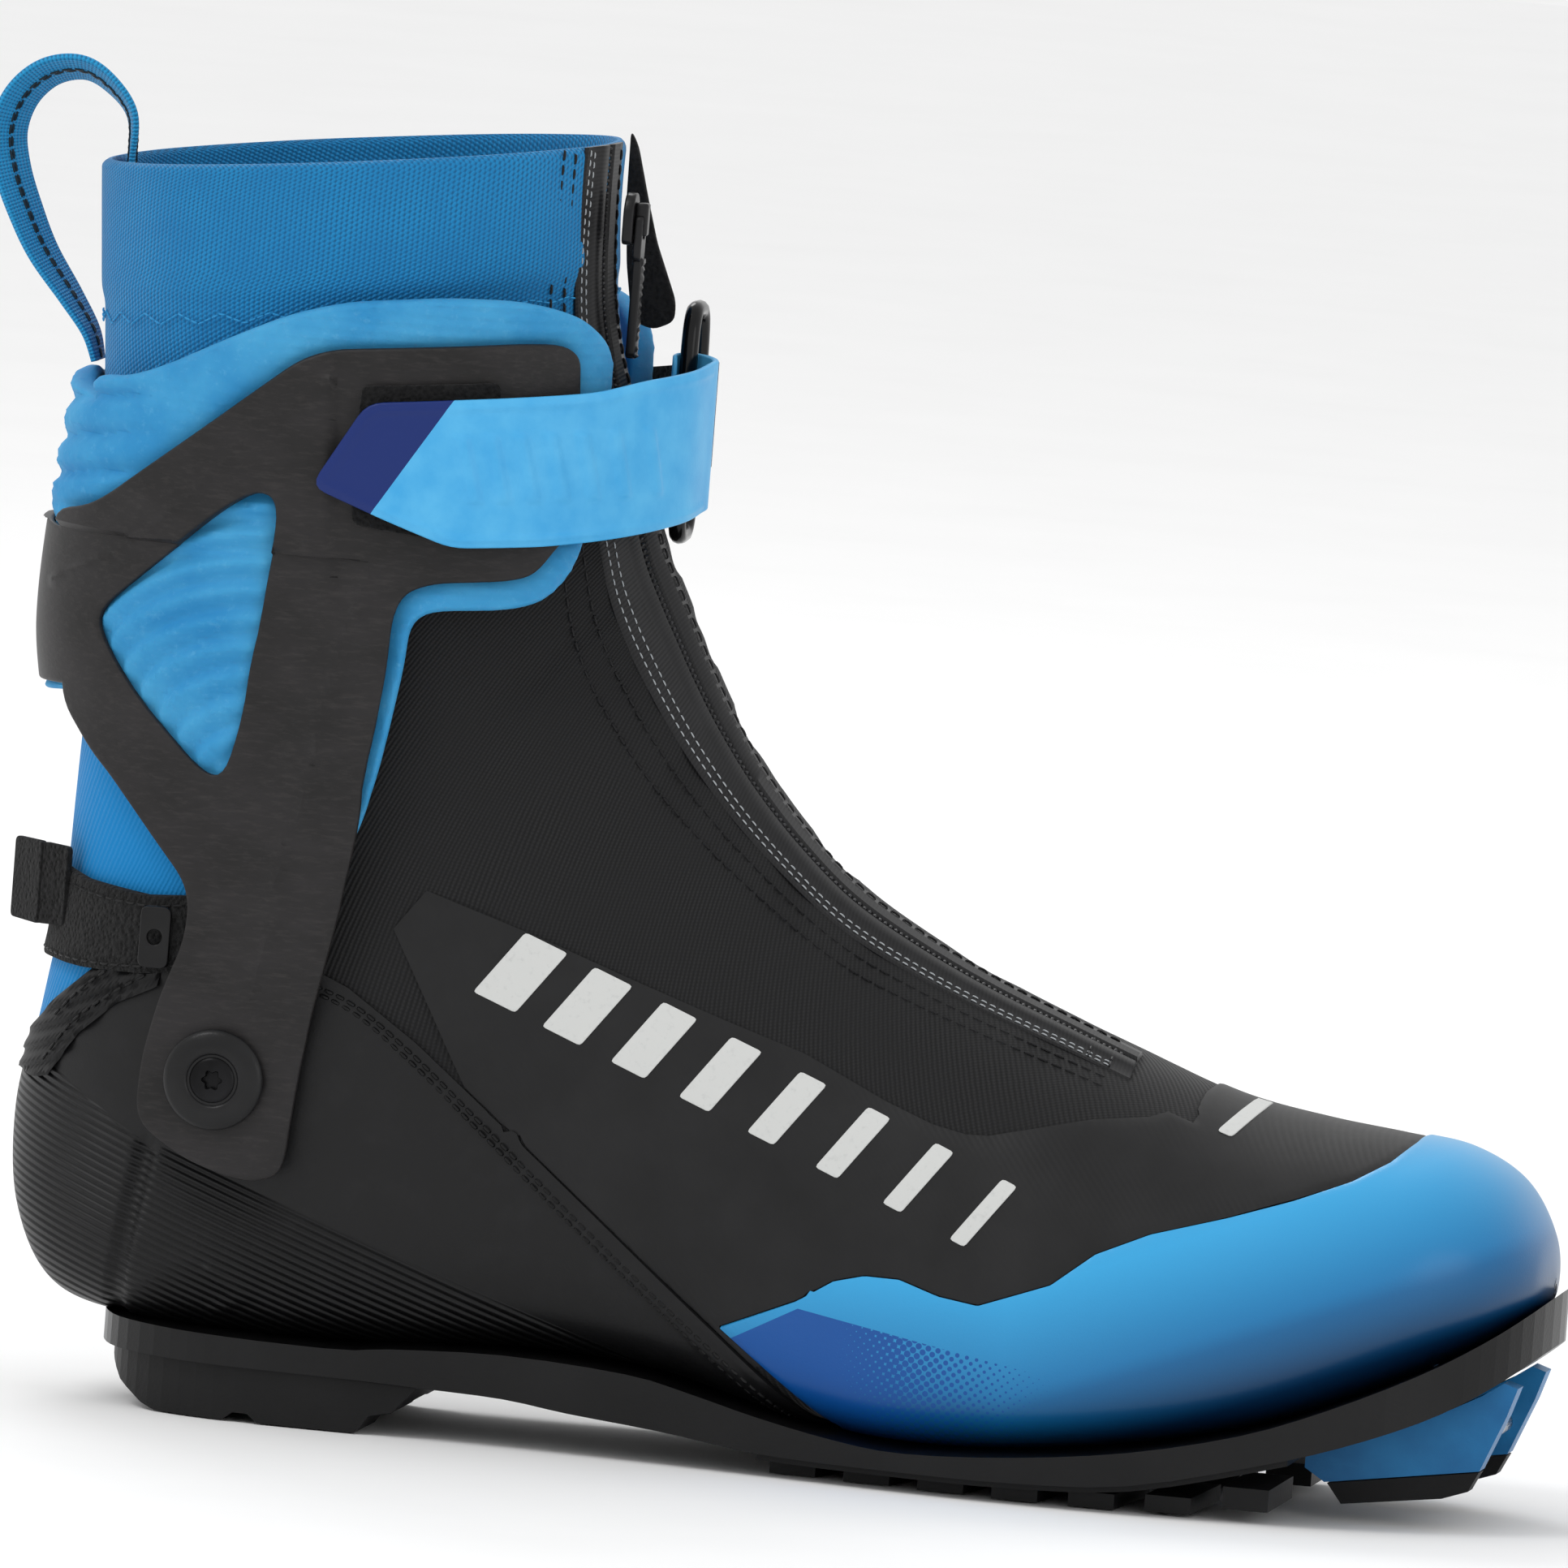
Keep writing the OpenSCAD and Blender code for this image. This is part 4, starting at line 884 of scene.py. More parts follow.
def pile_material(name="Loop pile tape", dark="#050505", light="#19191A"):
    """Hook and loop pile: short curled fibres, black, no gloss, with a paler painted highlight where light
    would catch on the curls.
    """
    material, tree, bsdf = new_material(name, dark, 0.9, Sheen_Weight=0.06)
    place = object_mm(tree)
    curl = add(tree, "ShaderNodeTexVoronoi", {"feature": "SMOOTH_F1", "Scale": 1.15}, {"Vector": place})
    fuzz = noise(tree, place, 1.4, 5, 0.7)
    pile = mathop(tree, "MULTIPLY", curl.outputs["Distance"], fuzz)
    # painted highlight: the paler colour on the curls stands in for light catching on them
    base = mix_colour(tree, ramp(tree, pile, [(0.1, 0.0), (0.42, 1.0)]), dark, light)
    tree.links.new(base, bsdf.inputs["Base Color"])
    bump(tree, bsdf, pile, 1.4, 1.0)
    return material


def tape_material():
    """Woven zip tape, coated on its inner half: fine cross ribs under a smooth satin film."""
    material, tree, bsdf = new_material("Coated zip tape", "#0F0F10", 0.4, Coat_Weight=0.15,
                                        Coat_Roughness=0.35)
    rib = bands(tree, uv_mm(tree), 0.8, "Y", 0.3, 4)
    wear = noise(tree, object_mm(tree), 0.2, 4)
    base = mix_colour(tree, rib, "#08080A", "#161618")
    worn = mix_colour(tree, ramp(tree, wear, [(0.45, 0.0), (0.8, 0.5)]), base, "#202022")
    tree.links.new(worn, bsdf.inputs["Base Color"])
    bump(tree, bsdf, rib, 0.06, 0.6)
    return material


def film_material():
    """Thermoplastic film bonded to the cloth: a faint print of the weave below, low gloss, fine dust."""
    material, tree, bsdf = new_material("Bonded film", "#141415", 0.48, Coat_Weight=0.06, Coat_Roughness=0.5)
    weave = bands(tree, object_mm(tree, turn=(0, 40, 0)), 1.1, "X", 0.5, 3)
    mottle = noise(tree, object_mm(tree), 0.06, 5)
    base = mix_colour(tree, ramp(tree, mottle, [(0.35, 0.0), (0.75, 1.0)]), "#101011", "#1A1A1B")
    tree.links.new(base, bsdf.inputs["Base Color"])
    first = bump(tree, bsdf, mottle, 0.8, 0.25)
    bump(tree, bsdf, weave, 0.035, 0.7, first)
    return material


def guard_material():
    """Coated polyurethane toe guard: glossy light blue above that fades to navy near the sole, with a fine
    grain, and a dotted darker patch on the outer side."""
    material, tree, bsdf = new_material("Coated toe guard", "#1E83BE", 0.34, Coat_Weight=0.2,
                                        Coat_Roughness=0.25)
    place = add(tree, "ShaderNodeSeparateXYZ", {}, {"Vector": object_mm(tree)})
    # height over a line that rises toward the toe, as the sole does
    toe = mathop(tree, "MULTIPLY", mathop(tree, "MAXIMUM", mathop(tree, "SUBTRACT", place.outputs["X"], 60.0),
                                          0.0), 0.40)
    over = mathop(tree, "SUBTRACT", place.outputs["Z"], toe)
    fade = add(tree, "ShaderNodeMapRange", {"From Min": 4.0, "From Max": 40.0}, {"Value": over}).outputs[0]
    low = mix_colour(tree, ramp(tree, fade, [(0.0, 0.0), (0.45, 1.0)]), "#04294C", "#0E68A0")
    base = mix_colour(tree, ramp(tree, fade, [(0.35, 0.0), (1.0, 1.0)]), low, colours().guard)
    # halftone patch: dots on a slanted lattice, drawn 1.6 mm apart so that they show
    dots = add(tree, "ShaderNodeTexVoronoi", {"Scale": 0.72, "Randomness": 0.0},
               {"Vector": object_mm(tree, (1, 0, 1), (0, 38, 0))})
    # the patch thins out toward the toe, and ends below a strip along the guard's upper border
    spread = add(tree, "ShaderNodeMapRange", {"From Min": 10.0, "From Max": 72.0, "To Min": 0.95,
                                              "To Max": 0.0},
                 {"Value": place.outputs["X"]}).outputs[0]
    crest = mathop(tree, "ADD", mathop(tree, "MULTIPLY", place.outputs["X"], -0.16), 36.0)
    rear = mathop(tree, "ADD", mathop(tree, "MULTIPLY", place.outputs["X"], 0.55), 23.0)
    below = mathop(tree, "LESS_THAN", place.outputs["Z"], mathop(tree, "MINIMUM", crest, rear))
    outer = mathop(tree, "MULTIPLY", mathop(tree, "LESS_THAN", place.outputs["Y"], -12.0), below)
    inside = mathop(tree, "MULTIPLY", mathop(tree, "LESS_THAN", dots.outputs["Distance"], spread), outer)
    patch = mix_colour(tree, inside, base, "#0A4E98")
    tree.links.new(patch, bsdf.inputs["Base Color"])
    grain = noise(tree, object_mm(tree), 2.2, 4)
    bump(tree, bsdf, grain, 0.06, 0.5)
    return material


def counter_material():
    """Injection moulded TPU: fine ribs that rise toward the toe in two zones either side of a groove, with a
    smooth grained field between them and the arch, half gloss; the rib grooves get painted shade and the rib
    tops a paler painted highlight."""
    material, tree, bsdf = new_material("Ribbed heel counter", "#0C0C0D", 0.42)
    ribs = bands(tree, object_mm(tree, turn=(0, -20, 0)), 1.5, "Z")
    place = add(tree, "ShaderNodeSeparateXYZ", {}, {"Vector": object_mm(tree)})
    x, z = place.outputs["X"], place.outputs["Z"]
    # each zone ends below its own line, z = 13.9 - 0.35 x in front and z = -14 - 0.59 x behind x = -106
    front = mathop(tree, "SUBTRACT", mathop(tree, "SUBTRACT", 13.9, mathop(tree, "MULTIPLY", x, 0.35)), z)
    rear = mathop(tree, "SUBTRACT", mathop(tree, "SUBTRACT", -14.0, mathop(tree, "MULTIPLY", x, 0.59)), z)
    split = mathop(tree, "LESS_THAN", x, -110.0)
    line = mathop(tree, "ADD", mathop(tree, "MULTIPLY", split, rear),
                  mathop(tree, "MULTIPLY", mathop(tree, "SUBTRACT", 1.0, split), front))
    zone = add(tree, "ShaderNodeMapRange", {"From Min": 0.0, "From Max": 0.8}, {"Value": line}).outputs[0]
    height = mathop(tree, "MULTIPLY", ribs, zone)
    # painted shade and highlight: the ribs are coloured near black in their grooves and paler on their tops
    base = mix_colour(tree, zone, "#131314", mix_colour(tree, ribs, "#040405", "#151516"))
    dust = noise(tree, object_mm(tree), 0.15, 5)
    dusty = mix_colour(tree, ramp(tree, dust, [(0.5, 0.0), (0.9, 0.25)]), base, "#2A2A2C")
    tree.links.new(dusty, bsdf.inputs["Base Color"])
    grain = bump(tree, bsdf, noise(tree, object_mm(tree), 1.6, 3), 0.08, 0.5)
    bump(tree, bsdf, height, 0.5, 1.0, grain)
    return material


def moulded_material(name, dark, light, roughness, grain=1.2, height=0.08, **shader):
    """Moulded plastic or rubber: a fine spark-eroded grain, a slow change of shade and light scuffing."""
    material, tree, bsdf = new_material(name, dark, roughness, **shader)
    place = object_mm(tree)
    shade = noise(tree, place, 0.05, 4)
    scuff = noise(tree, object_mm(tree, (0.4, 1, 2)), 0.3, 6, 0.7)
    base = mix_colour(tree, ramp(tree, shade, [(0.35, 0.0), (0.7, 1.0)]), dark, light)
    worn = mix_colour(tree, ramp(tree, scuff, [(0.58, 0.0), (0.82, 0.5)]), base, light)
    tree.links.new(worn, bsdf.inputs["Base Color"])
    bump(tree, bsdf, noise(tree, place, grain, 3), height, 0.6)
    return material


def composite_material():
    """Fibre filled polyamide: dark warm grey with paler flow marks and a fine leathery grain, low gloss."""
    material, tree, bsdf = new_material("Fibre filled composite", "#222121", 0.46)
    flow = noise(tree, object_mm(tree, (0.5, 1, 1), (0, 35, 0)), 0.09, 5, 0.65)
    fibre = noise(tree, object_mm(tree, (0.3, 1, 1.6), (0, 35, 0)), 0.8, 5, 0.7)
    base = mix_colour(tree, ramp(tree, flow, [(0.35, 0.0), (0.7, 1.0)]), "#1B1A1A", "#272526")
    streak = mix_colour(tree, ramp(tree, fibre, [(0.5, 0.0), (0.8, 0.6)]), base, "#3A3736")
    tree.links.new(streak, bsdf.inputs["Base Color"])
    bump(tree, bsdf, fibre, 0.12, 0.6)
    return material


def foam_material():
    """Moulded EVA foam: light blue, matt, with a fine closed-cell grain and paler worn high spots."""
    material, tree, bsdf = new_material("Moulded foam", "#4DA5D4", 0.7, Subsurface_Weight=0.05)
    place = object_mm(tree)
    cells = noise(tree, place, 1.6, 4, 0.6)
    shade = noise(tree, place, 0.06, 4)
    dust = noise(tree, place, 0.5, 6, 0.75)
    base = mix_colour(tree, ramp(tree, shade, [(0.35, 0.0), (0.7, 1.0)]), "#2B86BC", colours().pad)
    worn = mix_colour(tree, ramp(tree, dust, [(0.55, 0.0), (0.85, 0.5)]), base, "#6CB2D6")
    tree.links.new(worn, bsdf.inputs["Base Color"])
    bump(tree, bsdf, cells, 0.12, 0.6)
    return material


def strap_material():
    """Injection moulded TPU strap: satin sky blue with a deep blue grip panel near its tip."""
    material, tree, bsdf = new_material("Moulded strap", "#5BB8E6", 0.42, Coat_Weight=0.12,
                                        Coat_Roughness=0.35)
    place = add(tree, "ShaderNodeSeparateXYZ", {}, {"Vector": object_mm(tree)})
    line = mathop(tree, "ADD", place.outputs["X"], mathop(tree, "MULTIPLY", place.outputs["Z"], -0.62))
    grip = mathop(tree, "LESS_THAN", line, -187.0)
    shade = noise(tree, object_mm(tree), 0.12, 4)
    base = mix_colour(tree, ramp(tree, shade, [(0.3, 0.0), (0.75, 1.0)]), "#3A9FD8", colours().strap)
    both = mix_colour(tree, grip, base, "#062467")
    tree.links.new(both, bsdf.inputs["Base Color"])
    bump(tree, bsdf, noise(tree, object_mm(tree), 1.5, 4), 0.07, 0.6)
    return material


def steel_material():
    """Hardened steel pin, ground along its length: bright with fine rings."""
    material, tree, bsdf = new_material("Ground steel", "#B9BABC", 0.28, Metallic=1.0)
    rings = noise(tree, object_mm(tree, (1, 0.15, 1)), 3.0, 4)
    tree.links.new(ramp(tree, rings, [(0.3, 0.22), (0.7, 0.38)]), bsdf.inputs["Roughness"])
    bump(tree, bsdf, rings, 0.02, 0.5)
    return material


def thread_material(name, hex_colour):
    """Bonded polyester sewing thread: twisted, slightly glossy."""
    material, tree, bsdf = new_material(name, hex_colour, 0.45)
    twist = bands(tree, object_mm(tree, turn=(0, 40, 20)), 0.35)
    bump(tree, bsdf, twist, 0.05, 0.5)
    return material


def ink_material():
    """Pale screen print on the film: flat light grey, rubbed thin in places."""
    material, tree, bsdf = new_material("Pale screen print", "#E4E5E3", 0.5)
    rub = noise(tree, object_mm(tree), 0.7, 6, 0.7)
    base = mix_colour(tree, ramp(tree, rub, [(0.55, 0.0), (0.8, 0.5)]), "#C9CAC8", "#A2A4A4")
    tree.links.new(base, bsdf.inputs["Base Color"])
    bump(tree, bsdf, rub, 0.03, 0.5)
    return material


def lining_material():
    """Brushed polyester lining and foam bed: soft dark knit with a short nap."""
    material, tree, bsdf = new_material("Brushed lining", "#121214", 0.9, Sheen_Weight=0.1)
    nap = noise(tree, object_mm(tree), 1.2, 5, 0.7)
    knit = bands(tree, uv_mm(tree), 1.3, wobble=0.8, wobble_scale=3)
    base = mix_colour(tree, mathop(tree, "MULTIPLY", nap, knit), "#0C0C0E", "#1C1C20")
    tree.links.new(base, bsdf.inputs["Base Color"])
    bump(tree, bsdf, nap, 0.15, 0.7)
    return material


def board_material():
    """Non-woven fibre board of the last: straw coloured, matted fibres."""
    material, tree, bsdf = new_material("Fibre board", "#9C8C6A", 0.85)
    fibre = noise(tree, object_mm(tree, (0.4, 2, 1)), 0.9, 6, 0.7)
    tree.links.new(mix_colour(tree, fibre, "#4C4433", "#6E644D"), bsdf.inputs["Base Color"])
    bump(tree, bsdf, fibre, 0.1, 0.6)
    return material


# --------------------------------------------------------------------------------------------------------
# Operators, one for each piece or group of like pieces
# --------------------------------------------------------------------------------------------------------

class BOOT_OT_upper(bpy.types.Operator):
    """Softshell upper in one sheet of cloth from the toes to the collar"""
    bl_idname = "boot.upper"
    bl_label = "Softshell upper"

    def execute(self, context):
        s, v = around(200, 150, lambda v: np.zeros(len(v)), lambda v: crossing(v, KNIT_LINE))
        ankle = np.exp(-((s - 14) / 4.5) ** 2)
        folds = (0.7 * np.sin(s * 3.1 + 1.3 * np.sin(v * 2)) + 0.5 * np.sin(s * 5.3 + v * 2.2)) * ankle
        soft = 0.25 * np.sin(s * 1.7 + 2 * np.sin(v * 3)) * np.sin(v * 4 + s)
        front = np.clip(np.cos(v), 0, 1) ** 0.5 * np.clip(1 - np.abs(v) / 1.9, 0, 1)
        lift_off = np.clip(folds * front + soft, -0.7, 0.15) * np.clip(s / 3, 0, 1)
        outer = form(s, v, lift_off)
        inner = form(s, v, lift_off - 1.1)
        shell = slab("softshell_upper", outer, inner, arc_uv(outer))
        dress(shell, twill_material(), "softshell")
        bend(shell)
        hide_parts("softshell_foot", "softshell_ankle", "softshell_shaft")
        return {"FINISHED"}


class BOOT_OT_bootie(bpy.types.Operator):
    """Padded inner bootie with its tongue, lace, insole and board"""
    bl_idname = "boot.bootie"
    bl_label = "Inner bootie"

    def execute(self, context):
        lining = lining_material()
        s, v = around(110, 90, lambda v: np.full(len(v), 0.6),
                      lambda v: crossing(v, ((-170.0, 209.0), (-20.0, 217.0))))
        puff = 0.35 * np.sin(s * 2.1) * np.sin(v * 5)
        outer, inner = form(s, v, -2.2), form(s, v, -4.9 - puff)
        bootie = slab("inner_bootie", outer, inner, arc_uv(inner))
        dress(bootie, lining, "bootie_lining")
        bend(bootie)
        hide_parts("bootie_foot", "bootie_ankle", "bootie_shaft")
        s, y = np.meshgrid(np.linspace(9.2, 12.2, 60), np.linspace(-19, 21, 40), indexing="ij")
        crown = (1 - ((y - 1) / 20) ** 2) * 1.2 + 0.25 * np.cos(s * 14)
        outer, inner = zip_at(s, y, -7.4 + crown), zip_at(s, y, -9.2)
        tongue = slab("padded_tongue", outer, inner, arc_uv(outer))
        dress(tongue, lining, "bootie_lining", "boot", "tongue")
        turns = np.array([[11.6, -11], [11.5, 11], [11.3, -13], [11.15, 13], [11, -14], [10.8, 14],
                          [10.6, -14],
                          [10.4, 14], [10.2, -13]])
        path = smooth_rows(turns, np.linspace(0, 8, 160))
        cord = zip_at(path[:, 0], path[:, 1], -11.0)
        ring = np.linspace(0, 2 * np.pi, 8, endpoint=False)
        lace = sweep("lace", cord, 0.9 * np.stack([np.cos(ring), np.sin(ring)], -1))
        dress(lace, webbing_material(), "lace_cord", "boot", "lace")
        x, y = np.meshgrid(np.linspace(-112, 134, 120), np.linspace(-1, 1, 40), indexing="ij")
        half = np.interp(x, [-112, -100, -60, 0, 60, 100, 134], [12, 20, 24, 25, 36, 34, 14])
        top = np.interp(x, SOLE_TOP[:, 0], SOLE_TOP[:, 1]) + 7.5 + 2.5 * np.abs(y) ** 3
        outer = np.stack([x, y * half + 1, top], -1)
        insole = slab("insole_bed", outer, outer - [0, 0, 3], arc_uv(outer))
        dress(insole, lining, "insole_foam", "boot", "insole")
        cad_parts["lasting_board"].data.materials.clear()
        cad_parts["lasting_board"].data.materials.append(board_material())
        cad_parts["lace_lock"].data.materials.clear()
        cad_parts["lace_lock"].data.materials.append(
            moulded_material("Lace lock acetal", "#121214", "#1E1E20", 0.4))
        return {"FINISHED"}


class BOOT_OT_collar(bpy.types.Operator):
    """Knitted collar with its rolled rim, hem fold and zigzag stitches"""
    bl_idname = "boot.collar"
    bl_label = "Knit collar"

    def execute(self, context):
        knit = knit_material()
        s, v = around(60, 200, lambda v: crossing(v, KNIT_LINE) - 0.12, lambda v: np.full(len(v), float(RIM)))
        t = np.linspace(0, 1, 60)[:, None]
        flat = form(s, v)
        fold = flat[..., 2] - np.interp(flat[..., 0], [-140, -40], [214, 226])
        hem = 0.75 * (1 / (1 + np.exp(-fold / 0.8)))
        roll = 1.2 * np.clip((t - 0.95) / 0.05, 0, 1) ** 2
        wave = 0.35 * np.sin(v * 3 + 0.5) * np.sin(s * 1.9) + 0.18 * np.sin(v * 9 + s * 2)
        outer = form(s, v, hem - roll + wave - 0.45)
        inner = form(s, v, -2.3 + roll * 0.5 + wave)
        collar = slab("knit_sleeve", outer, inner, arc_uv(outer))
        dress(collar, knit, "knit_blue", "cuff", "knit_collar")
        v = np.linspace(-np.pi, np.pi, 500)
        zig = 1.5 * np.abs(((v * 30 / np.pi) % 2) - 1)
        s_hem = np.array([crossing(np.array([a]), ((-140.0, 211.0), (-40.0, 223.0)))[0] for a in v[::5]])
        s_hem = np.interp(v, v[::5], s_hem)
        place = form(s_hem - zig * 0.055, v, 0.2)
        normal = form(s_hem, v, 1.0) - form(s_hem, v, 0.0)
        hem_stitch = stitches("hem_zigzag", [(place, normal)], 1.5, 0.2, 1.7)
        dress(hem_stitch, thread_material("Blue thread", "#2A8DC4"), "knit_blue", "cuff")
        return {"FINISHED"}


class BOOT_OT_loop(bpy.types.Operator):
    """Pull loop of folded webbing with a dark centre stitch"""
    bl_idname = "boot.pull_loop"
    bl_label = "Pull loop"

    def execute(self, context):
        path = curve([[-139.6, 200.5], [-141.5, 206], [-146, 212.5], [-152, 220.5], [-156, 228],
                      [-159.3, 236],
                      [-160.6, 243.5], [-158.5, 250.5], [-153.5, 255.5], [-147, 257], [-141.5, 254.5],
                      [-136.7, 249], [-135.9, 241], [-135.9, 232]], 120)
        t = np.linspace(0, 1, 120)
        way = np.gradient(path, axis=0)
        way /= np.linalg.norm(way, axis=1, keepdims=True)
        turn = np.radians(35) * np.sin(np.pi * t)
        side = np.stack([way[:, 1] * np.sin(turn), np.cos(turn), -way[:, 0] * np.sin(turn)], -1)
        line = np.stack([path[:, 0], 0 * t, path[:, 1]], -1)
        loop = sweep("webbing_loop", line, round_profile(10, 1.3), side)
        dress(loop, webbing_material(), "webbing_blue", "cuff", "pull_loop")
        out = np.cross(np.gradient(line, axis=0), side)
        out /= np.linalg.norm(out, axis=1, keepdims=True)
        rows = [(line + out * 0.66 * k + side * y, out * k) for k in (-1, 1) for y in (-0.35, 0.35)]
        seam = stitches("loop_stitch", rows, sizes().stitch / MM, 0.3, 2.5)
        dress(seam, thread_material("Dark thread", "#12242F"), "zip_black", "cuff")
        return {"FINISHED"}


class BOOT_OT_zip(bpy.types.Operator):
    """Zip: coated tapes, teeth, stitch rows, slider, puller and the flap at the top"""
    bl_idname = "boot.zip"
    bl_label = "Zip"

    def execute(self, context):
        tape = tape_material()
        y = np.array([-17.6, -17.3, -14.2, -13.7, -13.3, -11.2, -10.9, -10.7, -9.4, -9.2, -9.0, -6.2,
                      -5.9, -3.4,
                      -3.1])
        high = np.array([0.1, 0.55, 0.6, 0.95, 1.15, 1.2, 1.0, 0.35, 0.35, 1.0, 1.2, 1.2, 0.9, 0.8, 0.1])
        s, yy = np.meshgrid(np.linspace(ZIP_BOTTOM - 0.15, RIM, 420), y, indexing="ij")
        outer = zip_at(s, yy, np.repeat(high[None], 420, 0))
        inner = zip_at(s, yy, -0.25)
        zip_tape = slab("zip_tapes", outer, inner, arc_uv(outer))
        dress(zip_tape, tape, "zip_black")
        bend(zip_tape)
        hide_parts("zip_tape_foot", "zip_ankle", "zip_tape")
        s = np.linspace(ZIP_BOTTOM, RIM - 0.1, 500)
        p = zip_at(s, -10.05, 0.55)
        n = zip_at(s, -10.05, 1.5) - p
        side = np.cross(n, np.gradient(p, axis=0))
        side /= np.linalg.norm(side, axis=1, keepdims=True)
        at = np.r_[0, np.cumsum(np.linalg.norm(np.diff(p, axis=0), axis=1))]
        where = np.arange(0.6, at[-1], 1.25)
        pick = [np.stack([np.interp(where, at, a[:, k]) for k in range(3)], -1) for a in (p, n, side)]
        ends = np.stack([pick[0] - pick[2] * 0.7, pick[0] + pick[2] * 0.7], 1)
        rows = [(np.stack([e[0], (e[0] + e[1]) / 2, e[1]]), np.stack([up] * 3))
                for e, up in zip(ends, pick[1])]
        teeth = stitches("zip_teeth", rows, 1.3, 0.42, 1.4)
        dress(teeth, moulded_material("Zip teeth nylon", "#131315", "#29292C", 0.35), "black_plastic")
        bend(teeth)
        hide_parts("zip_coil_foot", "zip_coil")
        s0, s1 = ZIP_BOTTOM + 0.1, RIM - 0.1
        groups = [("zip_white_rows", "#9FA3A6", (-16.6, -15.4), 0.58, 1.3, 0.16, 1.9),
                  ("zip_dark_rows", "#0E0E10", (-20.0, -22.6), 0.05, sizes().stitch / MM, 0.3, 2.9),
                  ("zip_far_rows", "#0E0E10", (-4.4,), 0.9, sizes().stitch / MM, 0.25, 2.9)]
        for name, shade, lines, up, length, radius, pitch in groups:
            rows = [trail(zip_at, [[s0 + (s1 - s0) * k / 14, line] for k in range(15)], 400, up)
                    for line in lines]
            row = stitches(name, rows, length, radius, pitch)
            dress(row, thread_material(name.replace("_", " "), shade), "zip_black")
            bend(row)
        across = np.linspace(-17, -3.6, 60)
        rows = [(zip_at(np.full(60, a), across, 0.75),
                 zip_at(np.full(60, a), across, 1.5) - zip_at(np.full(60, a), across, 0.5))
                for a in (ZIP_BOTTOM + 0.35, ZIP_BOTTOM + 0.1)]
        bar = stitches("zip_end_stitch", rows, 1.8, 0.28, 2.2)
        dress(bar, thread_material("End stitch thread", "#1C1C1E"), "zip_black", "boot")
        black = moulded_material("Slider enamel", "#0A0A0B", "#171719", 0.32, 2.0, 0.04)
        low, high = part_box("zip_slider")
        mid = [1000 * (low[k] + high[k]) / 2 for k in range(3)]
        x0, x1 = 1000 * low[0], 1000 * high[0]
        face = lambda a, b, d: np.stack([x0 + d, mid[1] + a, mid[2] + b], -1)
        outline = rounded([[-4, -5], [4, -5], [4, 2], [2.2, 5], [-2.2, 5], [-4, 2]], 1.6)
        body = plate("slider_body", [outline], 0, 2, 0.4, 1.0, face)
        bridge = plate("slider_bridge", [rounded([[-1.5, -3.2], [1.5, -3.2], [1.5, 3.2], [-1.5, 3.2]], 0.6)],
                       1.9, x1 - x0, 0.5, 0.8, face)
        dress(join("zip_slider_body", [body, bridge]), black, "black_plastic", "slider", "zip_slider")
        low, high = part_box("zip_puller")
        x0 = 1000 * low[0]
        z0, z1 = 1000 * low[2], 1000 * high[2]
        mid_y = 500 * (low[1] + high[1])
        face = lambda a, b, d: np.stack([x0 + d, mid_y + a, b + 0 * a], -1)
        stem = plate("puller_stem", [rounded([[-2.6, z1 - 9], [2.6, z1 - 9], [2.6, z1], [-2.6, z1]], 1.4),
                                     rounded([[-1.3, z1 - 4.6], [1.3, z1 - 4.6], [1.3, z1 - 1.4],
                                              [-1.3, z1 - 1.4]], 0.6)[::-1]], 0, 1.6, 0.35, 0.8, face)
        grip = plate("puller_grip", [rounded([[-2.4, z0], [2.4, z0], [1.7, z1 - 8], [-1.7, z1 - 8]], 1.2)],
                     0, 1.8, 0.45, 0.7, face,
                     lambda a, b: 0.35 * (np.sin(b * 2 * np.pi / 1.7) > 0) * (np.abs(a) < 1.3))
        dress(join("puller_tab", [stem, grip]), black, "black_plastic", "puller", "zip_puller")
        flap_edge = [[-39.3, 254], [-37.6, 251], [-34.8, 240.5], [-32.5, 232.5], [-28, 221.5], [-28, 217.5],
                     [-32, 215.6], [-36.4, 217], [-38.2, 228], [-39.2, 241]]
        flap = plate("zip_garage_flap", [rounded(flap_edge, 1.6)], 4.2, 5.7, 0.5, 1.0,
                     lambda a, b, d: np.stack([a, d, b + 0 * a], -1))
        dress(flap, pile_material("Flap loop tape", "#080809", "#18181A"), "zip_black", "flap", "zip_flap")
        return {"FINISHED"}


